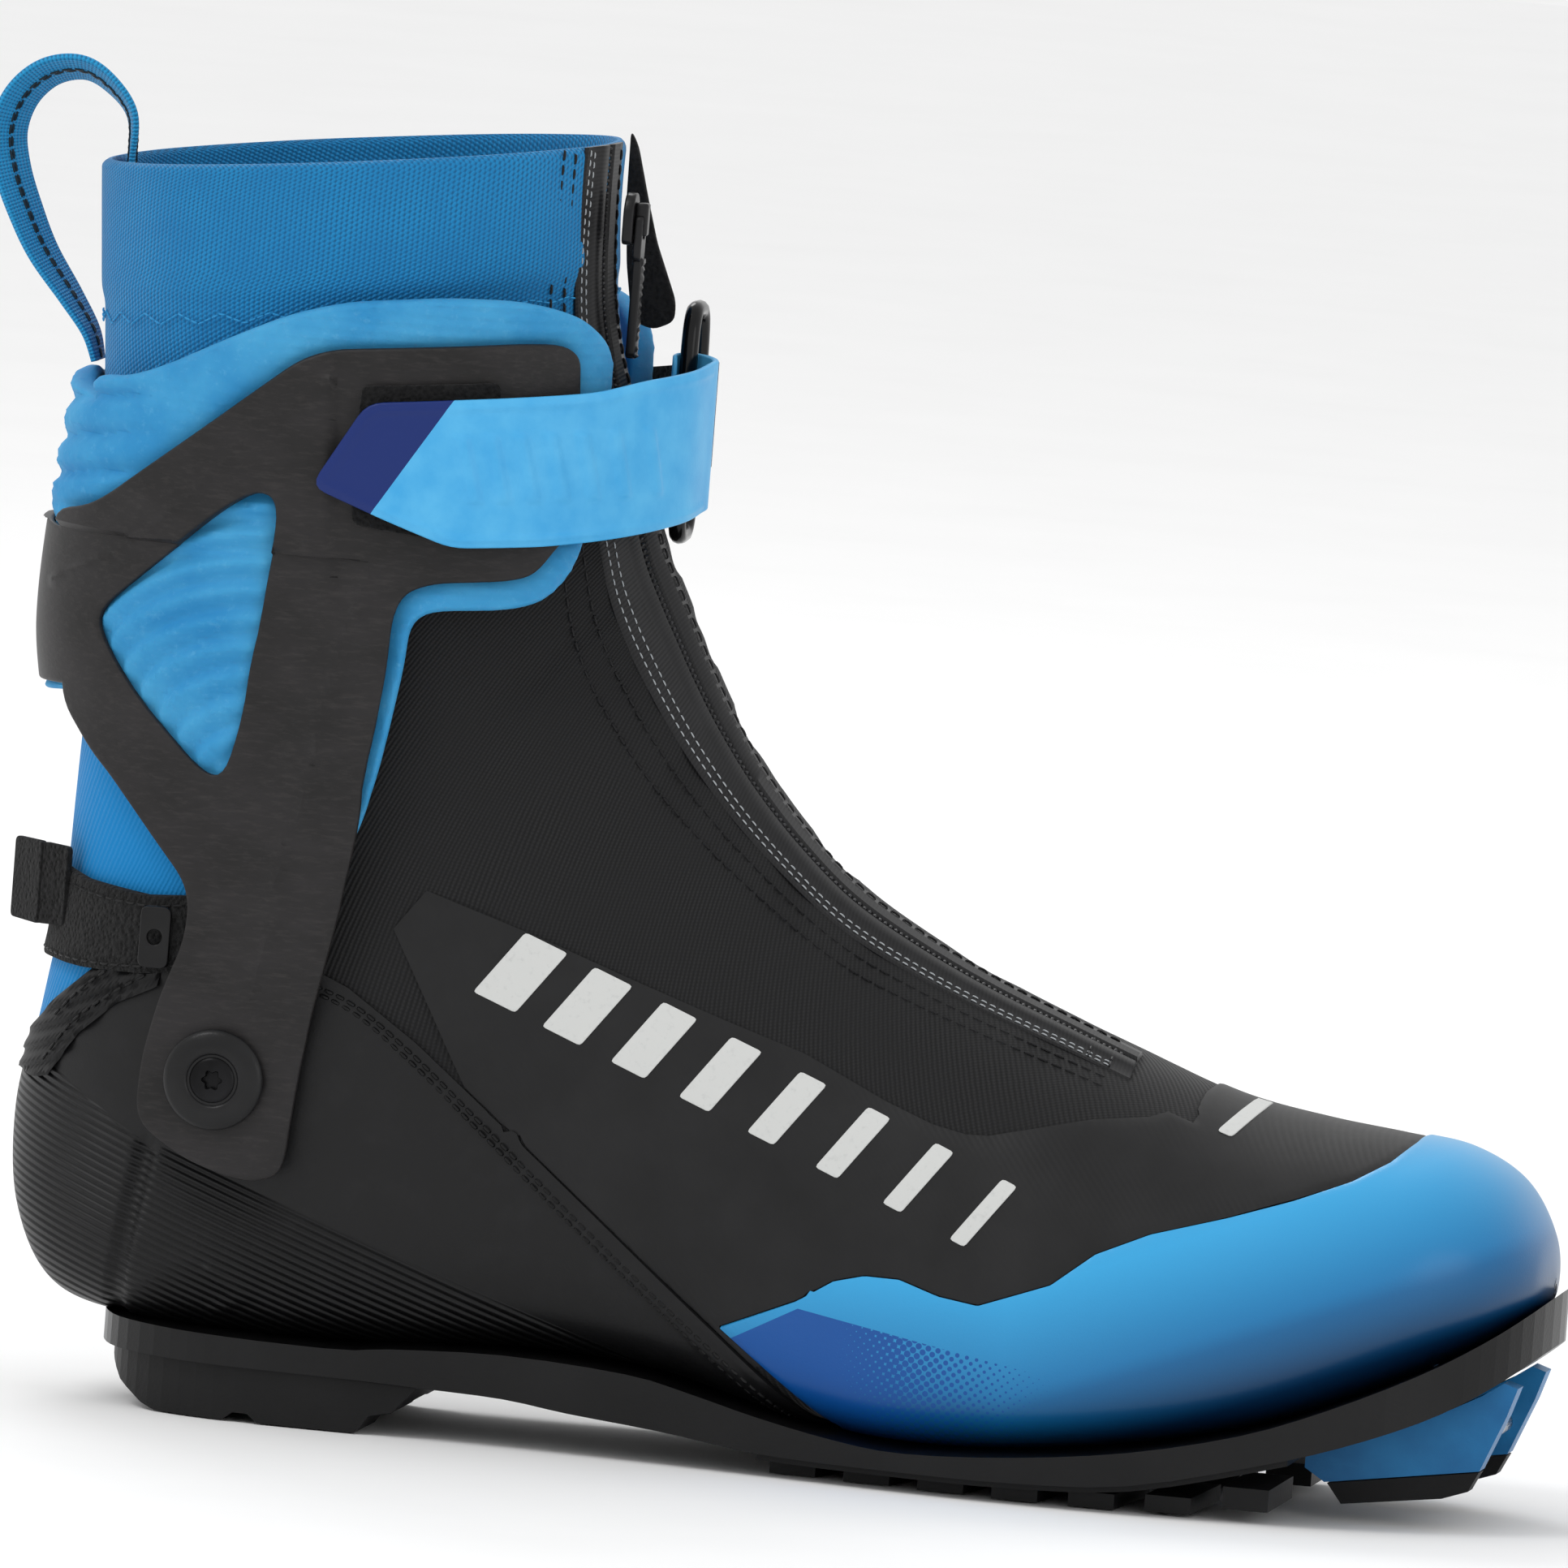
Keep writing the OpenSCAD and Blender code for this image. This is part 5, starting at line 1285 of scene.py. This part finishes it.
class BOOT_OT_heel(bpy.types.Operator):
    """Heel counter with its ribs and seam, the corrugated binding, the heel strap, its tab and keepers"""
    bl_idname = "boot.heel"
    bl_label = "Heel"

    def execute(self, context):
        counter = counter_material()
        edge = side_distance(COUNTER_EDGE)
        groove = np.array([[-112.5, 52], [-120, 14]])

        def raised(x, y, z):
            near = -edge(x, z)
            welted = 0.45 * np.exp(-((near - 3.2) / 1.0) ** 2)
            line = np.interp(z, groove[::-1, 1], groove[::-1, 0])
            cut = -0.85 * np.clip(1.7 - np.abs(x - line) / 1.4, 0, 1) * (z < 54)
            chevron = np.minimum(np.hypot(x + 98 - np.clip(x + 98, 0, 6), z - 25.4 - np.sign(z - 25.4) * 4.1
                                          * (1 - np.clip(x + 98, 0, 6) / 6)), 9)
            mark = 0.45 * np.clip(1.9 - chevron, 0, 1) * (np.abs(y) > 3)
            return welted + cut * (np.abs(y) > 3) + mark
        heel = skin("heel_cup", lambda x, y, z: np.maximum(edge(x, z), over_sole(x, z, -1.5)),
                    (8.5, 21.5), 0.2,
                    1.25, 1.0, raised)
        dress(heel, counter, "counter_tpu", "boot", "heel_counter")
        seam = [[-88, 89.5], [-73.5, 84.7], [-60.8, 76], [-46.5, 64.2], [-26.8, 48], [1.8, 25.5], [22, 9.5]]
        rows = []
        for side in (-1, 1):
            for inset, pitch in ((0.9, 0), (1.7, 1)):
                flat = curve(np.array(seam) - [inset, inset * 1.1 + 0.1 * pitch], 160)
                p = lift(flat[:, 0], flat[:, 1], side, 1.45)
                rows.append((p, lift(flat[:, 0], flat[:, 1], side, 2.45) - p))
        row = stitches("counter_stitch", rows, 2.0, 0.42, 2.4)
        dress(row, thread_material("Counter thread", "#0A0A0B"), "counter_tpu", "boot")
        bind = side_distance(BINDING_EDGE)
        strap = side_distance(HEEL_STRAP_EDGE)
        rolls = lambda x, y, z: 0.55 * np.sin((z * 0.72 - x * 0.3) * 2 * np.pi / 2.4)
        binding = skin("counter_binding", lambda x, y, z: np.maximum(bind(x, z), -strap(x, z) + 0.3),
                       (14, 22.5), 1.5, 2.35, 0.7, rolls)
        dress(binding, moulded_material("Corrugated binding", "#0B0B0C", "#161617", 0.5), "counter_tpu",
              "boot",
              "heel_binding")
        rows = []
        for side in (-1, 1):
            for line in ([[-113, 91.6], [-119, 88.6], [-127, 82.7], [-134, 75.4]],
                         [[-114, 86.4], [-121, 82], [-128.5, 76], [-134.5, 68]]):
                flat = curve(line, 60)
                p = lift(flat[:, 0], flat[:, 1], side, 2.85)
                rows.append((p, lift(flat[:, 0], flat[:, 1], side, 3.85) - p))
        row = stitches("binding_stitch", rows, sizes().stitch / MM, 0.3, 3.0)
        dress(row, thread_material("Binding thread", "#0B0B0C"), "counter_tpu", "boot")
        pile = pile_material()
        band = skin("achilles_strap", lambda x, y, z: strap(x, z), (15.5, 24.5), 2.0, 3.3, 0.9,
                    lambda x, y, z: 0.12 * np.sin(x * 0.9) * np.sin(z * 0.8))
        dress(band, pile, "hook_loop", "boot", "heel_strap")
        edges = []
        for side in (-1, 1):
            for line in ([[-138, 104.4], [-128, 101.4], [-115, 99.9], [-105, 100.8]],
                         [[-138, 89], [-128, 88], [-115, 88], [-105, 89.2]]):
                flat = curve(line, 60)
                p = lift(flat[:, 0], flat[:, 1], side, 3.3)
                edges.append((p, lift(flat[:, 0], flat[:, 1], side, 4.3) - p))
        row = stitches("heel_strap_stitch", edges, sizes().stitch / MM, 0.25, 2.8)
        dress(row, thread_material("Strap thread", "#0B0B0C"), "hook_loop", "boot")
        turn = math.radians(127)
        tab_way = np.array([math.cos(turn), math.sin(turn)])

        def on_tab(a, b, d):
            x = -140.5 + a * tab_way[0] - d * tab_way[1]
            y = -15 + a * tab_way[1] + d * tab_way[0]
            return np.stack([x, y, b + 0 * a], -1)
        tab = plate("peel_tab", [rounded([[-0.6, 91.4], [11, 91.6], [11, 107.4], [-0.6, 107.6]], 1.2)],
                    -0.7, 0.7, 0.4, 1.0, on_tab)
        root = plate("tab_root", [rounded([[-7, 91.8], [0.2, 91.5], [0.2, 107.5], [-7, 107.2]], 1.2)],
                     -0.8, 0.5, 0.3, 1.0, lambda a, b, d: on_tab(a, b, d - 2.2 * np.clip(-a / 6, 0, 1)))
        dress(root, pile, "hook_loop", "boot")
        dress(tab, pile, "hook_loop", "tab", "heel_strap_tab")
        keepers = []
        for side in (-1, 1):
            def face(a, b, d, side=side):
                return np.stack([-113.5 + a, side * (37.2 + d) + 0 * a, 93 + b + 0 * a], -1)
            hole = 1.5 * np.stack([np.cos(np.arange(16) * np.pi / 8), np.sin(np.arange(16) * np.pi / 8)], -1)
            keepers.append(plate(f"keeper{side}", [rounded([[-3, -6], [3, -6], [3, 6], [-3, 6]], 1.6),
                                                   hole[::-1]], -0.5, 0.7, 0.3, 1.0, face))
        dress(join("strap_eyelets", keepers), moulded_material("Eyelet acetal", "#0A0A0B", "#161617", 0.35),
              "black_plastic", "boot", "strap_keepers")
        return {"FINISHED"}


class BOOT_OT_overlays(bpy.types.Operator):
    """Forefoot film with its print, and the toe guard"""
    bl_idname = "boot.overlays"
    bl_label = "Forefoot overlays"

    def execute(self, context):
        film, guard, counter = (side_distance(e) for e in (FILM_EDGE, GUARD_EDGE, COUNTER_EDGE))

        def film_edge(x, y, z):
            near_zip = 18 - np.abs(y + 3.5)
            open_top = np.where(x < 90, near_zip, -50.0)
            return np.max([film(x, z), 0.25 - guard(x, z), 0.25 - counter(x, z), open_top], 0)
        bulges = lambda x, y, z: (0.8 * np.exp(-((x - 112) / 9) ** 2 - ((z - 56) / 6) ** 2)
                                  + 0.9 * np.exp(-((x + 52) / 12) ** 2 - ((z - 78) / 7) ** 2)) * (y < 0)
        overlay = skin("forefoot_overlay", film_edge, (3.2, 16.5), -0.1, 0.55, 1.1, bulges, bevel=0.2)
        dress(overlay, film_material(), "film", "boot", "forefoot_film")
        toe = skin("toe_cap", lambda x, y, z: np.maximum(guard(x, z), over_sole(x, z, -1.5)),
                   (0.03, 12.2), 0.2,
                   0.95, 1.0, bevel=0.3)
        dress(toe, guard_material(), "guard_blue", "boot", "toe_guard")
        bars = []
        tilt = np.radians(-21.3)
        turned = np.array([[np.cos(tilt), np.sin(tilt)], [-np.sin(tilt), np.cos(tilt)]])
        for k in range(8):
            middle = [-42 + 13.6 * k, 92.2 - 5.35 * k]
            half = 4.6 - 0.42 * k
            slash = [[-half - 2, -7.3], [half - 2, -7.3], [half + 2, 7.3], [-half + 2, 7.3]]
            corner = np.array(slash) @ turned + middle
            bars.append(plate(f"bar{k}", [rounded(corner, 0.7, 2)], 0.5, 0.8, 0.1, 1.2,
                              lambda a, b, d: lift(a, b, -1, d + bulges(a, -1 + 0 * a, b)), rounds=1))
        dash = [[98.5, 77.3], [101.5, 76.4], [97.3, 71.5], [94.3, 72.4]]
        bars.append(plate("dash", [rounded(dash, 0.6, 2)], 0.5, 0.8, 0.1, 1.2,
                          lambda a, b, d: lift(a, b, -1, d), rounds=1))
        dress(join("film_print", bars), ink_material(), "film", "boot")
        return {"FINISHED"}


def mirrored(points, lateral):
    """Side view outline in arc length round the cuff and height: on the outer side as it is, on the inner
    side with the sign of its arc length turned."""
    p = np.asarray(points, float)
    outer = np.stack([cuff_u(p[:, 0], p[:, 1], -1), p[:, 1]], -1)
    if lateral:
        return outer
    return outer * [-1, 1]


class BOOT_OT_cuff(bpy.types.Operator):
    """Composite cuff frame, the foam pad under it and the pivots"""
    bl_idname = "boot.cuff"
    bl_label = "Cuff"

    def execute(self, context):
        half = rounded(FRAME_EDGE, 3.5)
        flat = mirrored(half[half[:, 0] > -139.9], True)
        frame_side = flat
        back_top, back_low = [0.0, 170.5], [0.0, 138.5]
        outline = np.vstack([[back_top], flat, [back_low], (flat * [-1, 1])[::-1]])
        windows = [mirrored(rounded(FRAME_WINDOW, 6), side) for side in (True, False)]
        pivot_u = float(cuff_u(PIVOT[0], PIVOT[1], 1))
        turn = np.linspace(0, 2 * np.pi, 40, endpoint=False)
        holes = [np.stack([k * pivot_u + 6.1 * np.cos(turn), PIVOT[1] + 6.1 * np.sin(turn)], -1)
                 for k in (-1, 1)]
        creases = [
            ([[-140, 159], [-128, 165], [-118, 171.5], [-104.5, 186], [-92, 199], [-86, 204.5]], 0.9, 0.75),
            ([[-76, 168.5], [-80, 155], [-83.5, 135], [-88, 115], [-90.5, 95], [-93, 78]], 0.8, 0.7),
            ([[-72.5, 164], [-76, 140], [-80, 115], [-83, 92], [-86, 70]], 2.2, 0.3),
        ]
        lines = [(np.stack([cuff_u(np.array(p)[:, 0], np.array(p)[:, 1], -1), np.array(p)[:, 1]], -1), w, h)
                 for p, w, h in creases]

        def ridges(a, b):
            total = 0 * a
            mirror = -np.abs(a)
            for line, width, height in lines:
                best = np.full(np.shape(a), 1e9)
                for (x0, y0), (x1, y1) in zip(line[:-1], line[1:]):
                    dx, dy = x1 - x0, y1 - y0
                    t = np.clip(((mirror - x0) * dx + (b - y0) * dy) / (dx * dx + dy * dy), 0, 1)
                    best = np.minimum(best, np.hypot(mirror - x0 - t * dx, b - y0 - t * dy))
                total = total + height * np.exp(-(best / width) ** 2)
            # two facets: the arm falls away in front of its crease and the limb falls away above its own
            arm, limb = lines[1][0], lines[0][0]
            front = np.clip(mirror - np.interp(b, arm[::-1, 1], arm[::-1, 0]), 0, 8) * (b < 170)
            above = np.clip(b - np.interp(mirror, limb[:, 0], limb[:, 1]), 0, 8) * (mirror < limb[-1, 0] + 12)
            step = 0.5 * (1 / (1 + np.exp(-(b - 172 - 0.55 * (mirror + 55)) / 1.2)))
            return total + step * (b > 140) - 0.15 * front - 0.11 * above
        frame_plate = plate("cuff_shell", [outline] + [w[::-1] for w in windows] + [h[::-1] for h in holes],
                            0.05, 2.6, 0.7, 1.6, on_cuff, ridges)
        dress(frame_plate, composite_material(), "frame_composite", "cuff", "cuff_frame")
        half = rounded(PAD_EDGE, 5)
        half = half[(half[:, 0] > -135.9)]
        flat = mirrored(half, True)
        outline = np.vstack([[[0.0, 199.5]], flat, [[0.0, 136.0]], (flat * [-1, 1])[::-1]])
        cover = np.vstack([frame_side, [back_low, [40.0, 150.0], back_top]])
        frame_gap = side_distance(cover)
        window_gap = side_distance(windows[0])

        def bulge(a, b):
            mirror = -np.abs(a)
            out = np.maximum(frame_gap(mirror, b), -window_gap(mirror, b))
            swell = 1.5 * (1 - np.exp(-np.clip(out, 0, 30) / 2.2))
            window_ribs = 0.9 * np.sin(np.hypot(mirror + 74, b - 117) * 2 * np.pi / 5.5)
            back = np.clip((b - 172) / 4, 0, 1) * np.clip((48 + mirror) / 12, 0, 1)
            back_ribs = -1.5 * np.abs(np.sin((b - 174 + 0.12 * mirror) * np.pi / 7.4)) ** 6 * back
            open_window = 1 / (1 + np.exp(window_gap(mirror, b) / 1.2))
            pimples = 0.4 * np.clip(np.sin(mirror * 1.5) * np.sin(b * 1.5), 0.25, 1)
            shown = np.clip(out / 2, 0, 1)
            return (swell + window_ribs * open_window + (back_ribs + pimples) * shown * (1 - open_window))
        pad = plate("foam_pad", [outline], -3.6, -0.35, 1.2, 1.3, on_cuff, bulge, rounds=3)
        dress(pad, foam_material(), "pad_foam", "cuff", "cuff_pad")
        caps, heads = [], []
        top = 1000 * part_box("pivot_washers")[1][1]
        radius = sizes().cap_radius / MM
        for side in (-1, 1):
            centre = (PIVOT[0], 0, PIVOT[1])
            caps.append(lathe(f"cap{side}", [
                [3.15, top - 1.3], [radius - 0.3, top - 1.3], [radius, top - 0.9], [radius - 0.2, top - 0.4],
                [radius - 1.0, top + 0.1], [radius - 2.6, top + 0.5], [5.6, top + 0.75], [5.2, top + 0.55],
                [4.9, top + 0.2], [3.15, top + 0.2], [3.15, top - 1.3]], centre, side, 96))
            star = lambda r, a: np.where(r < 2.4, r * (1 + 0.16 * np.cos(6 * a)), r)
            heads.append(lathe(f"head{side}", [
                [0, top - 0.6], [0.02, top - 0.6], [1.6, top - 0.6], [1.62, top + 0.5], [1.8, top + 0.75],
                [3.6, top + 0.75], [4.2, top + 0.55], [4.45, top + 0.25], [4.45, top + 0.1], [3.0, top + 0.1],
                [3.0, 29.2], [0.02, 29.2]], centre, side, 60, star))
        dress(join("pivot_caps", caps), moulded_material("Pivot cap nylon", "#111112", "#1D1D1E", 0.34),
              "black_plastic", "cuff", "pivot_washers")
        dress(join("pivot_bolts", heads), moulded_material("Blackened steel", "#0F0F10", "#2A2A2C", 0.35,
                                                           2, 0.03,
                                                           Metallic=0.6), "black_plastic", "boot",
              "pivot_screws")
        for node in ("pivot_bushings", "pivot_spacers"):
            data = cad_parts[node].data
            data.materials.clear()
            data.materials.append(moulded_material("Acetal " + node[6:], "#101012", "#1B1B1D", 0.35))
        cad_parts["pivot_nuts"].data.materials.clear()
        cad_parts["pivot_nuts"].data.materials.append(steel_material())
        return {"FINISHED"}


STRAP_PATH = [
    [-25.9, 1.2], [-26.4, 3.4], [-25.0, 5.1], [-22.9, 5.0], [-20.8, 3.0], [-19.2, -0.5], [-19.4, -5],
    [-21.5, -15.5], [-28.5, -27.5], [-39.5, -37.5], [-52, -43.8], [-66, -47.2], [-80, -48.4], [-92, -48.6],
]


class BOOT_OT_strap(bpy.types.Operator):
    """Closing strap round its ring, with the tape under it, the hook patch, the ring and its holder"""
    bl_idname = "boot.strap"
    bl_label = "Closing strap"

    def execute(self, context):
        place = along(STRAP_PATH, 400)
        line = curve(STRAP_PATH, 400)
        at = np.r_[0, np.cumsum(np.linalg.norm(np.diff(line, axis=0), axis=1))]
        front = at[np.argmin(np.abs(line[:, 1] + 5) + 10 * (line[:, 0] < -22))]
        late = at >= front
        length_at = lambda x: np.interp(x, line[late][::-1, 0], at[late][::-1])
        edge = np.array(STRAP_EDGE)
        flat = np.stack([length_at(edge[:, 0]), edge[:, 1]], -1)
        top, low = flat[:6], flat[9:]
        loop = [[front - 4, 211.3], [6, 211.8], [0.3, 211.4], [0.3, 182.6], [6, 182.2], [front - 3, 182.2]]
        outline = rounded(np.vstack([top, loop, low]), 3.2)
        rim = side_distance(outline)
        ink = [[-58 + 5.3 * k, 189.6 + 0.5 * k] for k in range(7)]

        def embossed(a, b):
            ribs = 0 * a
            for x, z in ink:
                p = length_at(x)
                across = (a - p) - 0.28 * (b - z)
                ribs = np.maximum(ribs, 0.6 * (1 / (1 + np.exp((np.abs(across) - 1.3) / 0.2)))
                                  * (1 / (1 + np.exp((np.abs(b - z) - 6.4) / 0.3))))
            edge_lip = 0.3 * np.exp(-((-rim(a, b) - 1.6) / 0.7) ** 2) * (a > front)
            return ribs + edge_lip - 0.35 * np.clip((9 - a) / 3, 0, 1)
        thick = sizes().strap_thickness / MM
        strap = plate("moulded_strap", [outline], 0.1, thick, 0.4, 0.6, place, embossed)
        dress(strap, strap_material(), "strap_blue", "strap", "cuff_strap")
        pile = pile_material("Strap pile", "#060607", "#19191A")
        under = [[-54, 181], [-54, 201], [-44, 203], [-24, 207.5], [-24, 183.6], [-44, 179.5]]
        base = np.stack([length_at(np.array(under)[:, 0]), np.array(under)[:, 1]], -1)
        inner_tape = plate("hook_tape", [rounded(base, 1.5)], -1.15, -0.25, 0.25, 1.4, place)
        dress(inner_tape, pile, "hook_loop", "cuff", "strap_base")
        patch = np.array([[-80, 177], [-80, 204], [-55, 206.6], [-55, 174.5]])
        flat = np.stack([cuff_u(patch[:, 0], patch[:, 1], -1), patch[:, 1]], -1)
        hook = plate("hook_pad", [rounded(flat, 2)], 3.15, 3.95, 0.25, 1.5, on_cuff)
        dress(hook, pile, "hook_loop", "cuff", "hook_patch")
        t = np.linspace(0, 2 * np.pi, 96, endpoint=False)
        mid = np.array([-24.3, 9.5, 198.0])
        y = 6.5 * signed_pow(np.cos(t), 0.5)
        z = 22 * signed_pow(np.sin(t), 0.42)
        ring_line = mid + np.stack([0 * t, y, z], -1)
        turn = np.linspace(0, 2 * np.pi, 12, endpoint=False)
        ring = sweep("ring", ring_line, 1.75 * np.stack([np.cos(turn), np.sin(turn)], -1),
                     np.tile([1.0, 0, 0], (96, 1)), closed=True)
        dress(ring, moulded_material("Glossy acetal ring", "#050506", "#101012", 0.16, 1.0, 0.02),
              "black_plastic", "cuff", "strap_ring")
        hold = along([[-27.4, 14.8], [-26.0, 13.0], [-22.8, 13.2], [-21.3, 17.2], [-23.8, 23.6], [-31, 32],
                      [-41, 39.4], [-53, 45.4], [-64, 47.9]][::-1], 300)
        top = hold.length
        web = plate("ring_webbing", [rounded([[0.5, 184], [top - 22, 188.5], [top, 189], [top, 211],
                                              [top - 22, 208], [0.5, 201]], 1.5)], -0.75, 0.75, 0.3, 1.3,
                                              hold)
        dress(web, pile_material("Holder webbing", "#080809", "#1B1B1C"), "hook_loop", "cuff", "ring_holder")
        return {"FINISHED"}


class BOOT_OT_sole(bpy.types.Operator):
    """Sole: chassis, heel pad, lugs, toe block, wear pad and the steel bar"""
    bl_idname = "boot.sole"
    bl_label = "Sole"

    def execute(self, context):
        kept = {
            "sole_chassis": moulded_material("Moulded sole polyamide", "#070708", "#0F0F10", 0.3, 1.4, 0.06),
            "heel_pad": moulded_material("Heel rubber", "#070708", "#0F0F10", 0.5, 0.9, 0.12),
            "forefoot_tread": moulded_material("Tread rubber", "#080809", "#111112", 0.52, 0.9, 0.12),
            "toe_block": moulded_material("Blue toe block", "#155E93", colours().toe_block, 0.4, 1.5, 0.06),
            "toe_wear_pad": moulded_material("Wear pad rubber", "#070708", "#101011", 0.6, 0.9, 0.12),
            "toe_bar": steel_material(),
        }
        for node, material in kept.items():
            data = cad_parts[node].data
            data.materials.clear()
            data.materials.append(material)
        return {"FINISHED"}


class BOOT_OT_stage(bpy.types.Operator):
    """Pale floor, soft studio light and the camera"""
    bl_idname = "boot.stage"
    bl_label = "Stage"

    def execute(self, context):
        floor_material, tree, bsdf = new_material("Pale studio floor", "#FAFAFA", 0.9)
        grain = noise(tree, object_mm(tree), 0.02, 3)
        tree.links.new(mix_colour(tree, grain, "#F8F8F8", "#FDFDFD"), bsdf.inputs["Base Color"])
        r = 4000.0
        floor = make_object("studio_floor", [[-r, -r, -0.3], [r, -r, -0.3], [r, r, -0.3], [-r, r, -0.3]],
                            [(0, 1, 2, 3)])
        floor.data.materials.append(floor_material)
        world = bpy.data.worlds.new("Soft white room")
        world.use_nodes = True
        world.node_tree.nodes["Background"].inputs["Color"].default_value = (1, 1, 1, 1)
        world.node_tree.nodes["Background"].inputs["Strength"].default_value = 0.9
        context.scene.world = world
        context.scene.view_settings.view_transform = "Standard"
        lights = [("Key", (-0.9, -1.0, 1.7), 0.7, 9.0), ("Fill", (1.5, -1.0, 0.5), 0.9, 2.5),
                  ("Rim", (-0.6, 1.2, 1.5), 0.8, 7.0)]
        for name, place, width, power in lights:
            data = bpy.data.lights.new(name, "AREA")
            data.shape = "DISK"
            data.size = width
            data.energy = power
            light = bpy.data.objects.new(name, data)
            light.location = place
            aim = mathutils.Vector((0, 0, 0.12)) - light.location
            light.rotation_euler = aim.to_track_quat("-Z", "Y").to_euler()
            context.scene.collection.objects.link(light)
        turn, rise, roll = math.radians(9), math.radians(5.2), math.radians(4.4)
        back = mathutils.Vector((math.sin(turn) * math.cos(rise), -math.cos(turn) * math.cos(rise),
                                 math.sin(rise)))
        right = mathutils.Vector((math.cos(turn), math.sin(turn), 0))
        up = back.cross(right)
        right, up = right * math.cos(roll) + up * math.sin(roll), up * math.cos(roll) - right * math.sin(roll)
        lens = bpy.data.cameras.new("Camera")
        lens.lens = 1066
        lens.sensor_width = 36
        lens.clip_end = 40
        camera = bpy.data.objects.new("Camera", lens)
        target = mathutils.Vector((0.0012, 0, 0.1303))
        basis = mathutils.Matrix((right, up, back)).transposed().to_4x4()
        camera.matrix_world = mathutils.Matrix.Translation(target + back * 9.0) @ basis
        context.scene.collection.objects.link(camera)
        context.scene.camera = camera
        return {"FINISHED"}


STEPS = (BOOT_OT_stage, BOOT_OT_upper, BOOT_OT_bootie, BOOT_OT_collar, BOOT_OT_loop, BOOT_OT_zip,
         BOOT_OT_heel,
         BOOT_OT_overlays, BOOT_OT_cuff, BOOT_OT_strap, BOOT_OT_sole)


class BOOT_PT_panel(bpy.types.Panel):
    """Lists the sizes, the colours and the steps of the boot"""
    bl_idname = "BOOT_PT_panel"
    bl_label = "Cross country boot"
    bl_space_type = "VIEW_3D"
    bl_region_type = "UI"
    bl_category = "Boot"

    def draw(self, context):
        for group in (context.scene.boot_sizes, context.scene.boot_colours):
            box = self.layout.box()
            for key in group.bl_rna.properties.keys():
                if key not in ("name", "rna_type"):
                    box.prop(group, key)
        for step in STEPS:
            self.layout.operator(step.bl_idname)


CLASSES = (BootColours, BootSizes) + STEPS + (BOOT_PT_panel,)


def register():
    for item in CLASSES:
        bpy.utils.register_class(item)
    bpy.types.Scene.boot_sizes = bpy.props.PointerProperty(type=BootSizes)
    bpy.types.Scene.boot_colours = bpy.props.PointerProperty(type=BootColours)


def unregister():
    del bpy.types.Scene.boot_colours
    del bpy.types.Scene.boot_sizes
    for item in reversed(CLASSES):
        bpy.utils.unregister_class(item)


def main():
    """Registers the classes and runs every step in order."""
    register()
    for step in STEPS:
        group, name = step.bl_idname.split(".")
        getattr(getattr(bpy.ops, group), name)()


if __name__ == "__main__":
    main()
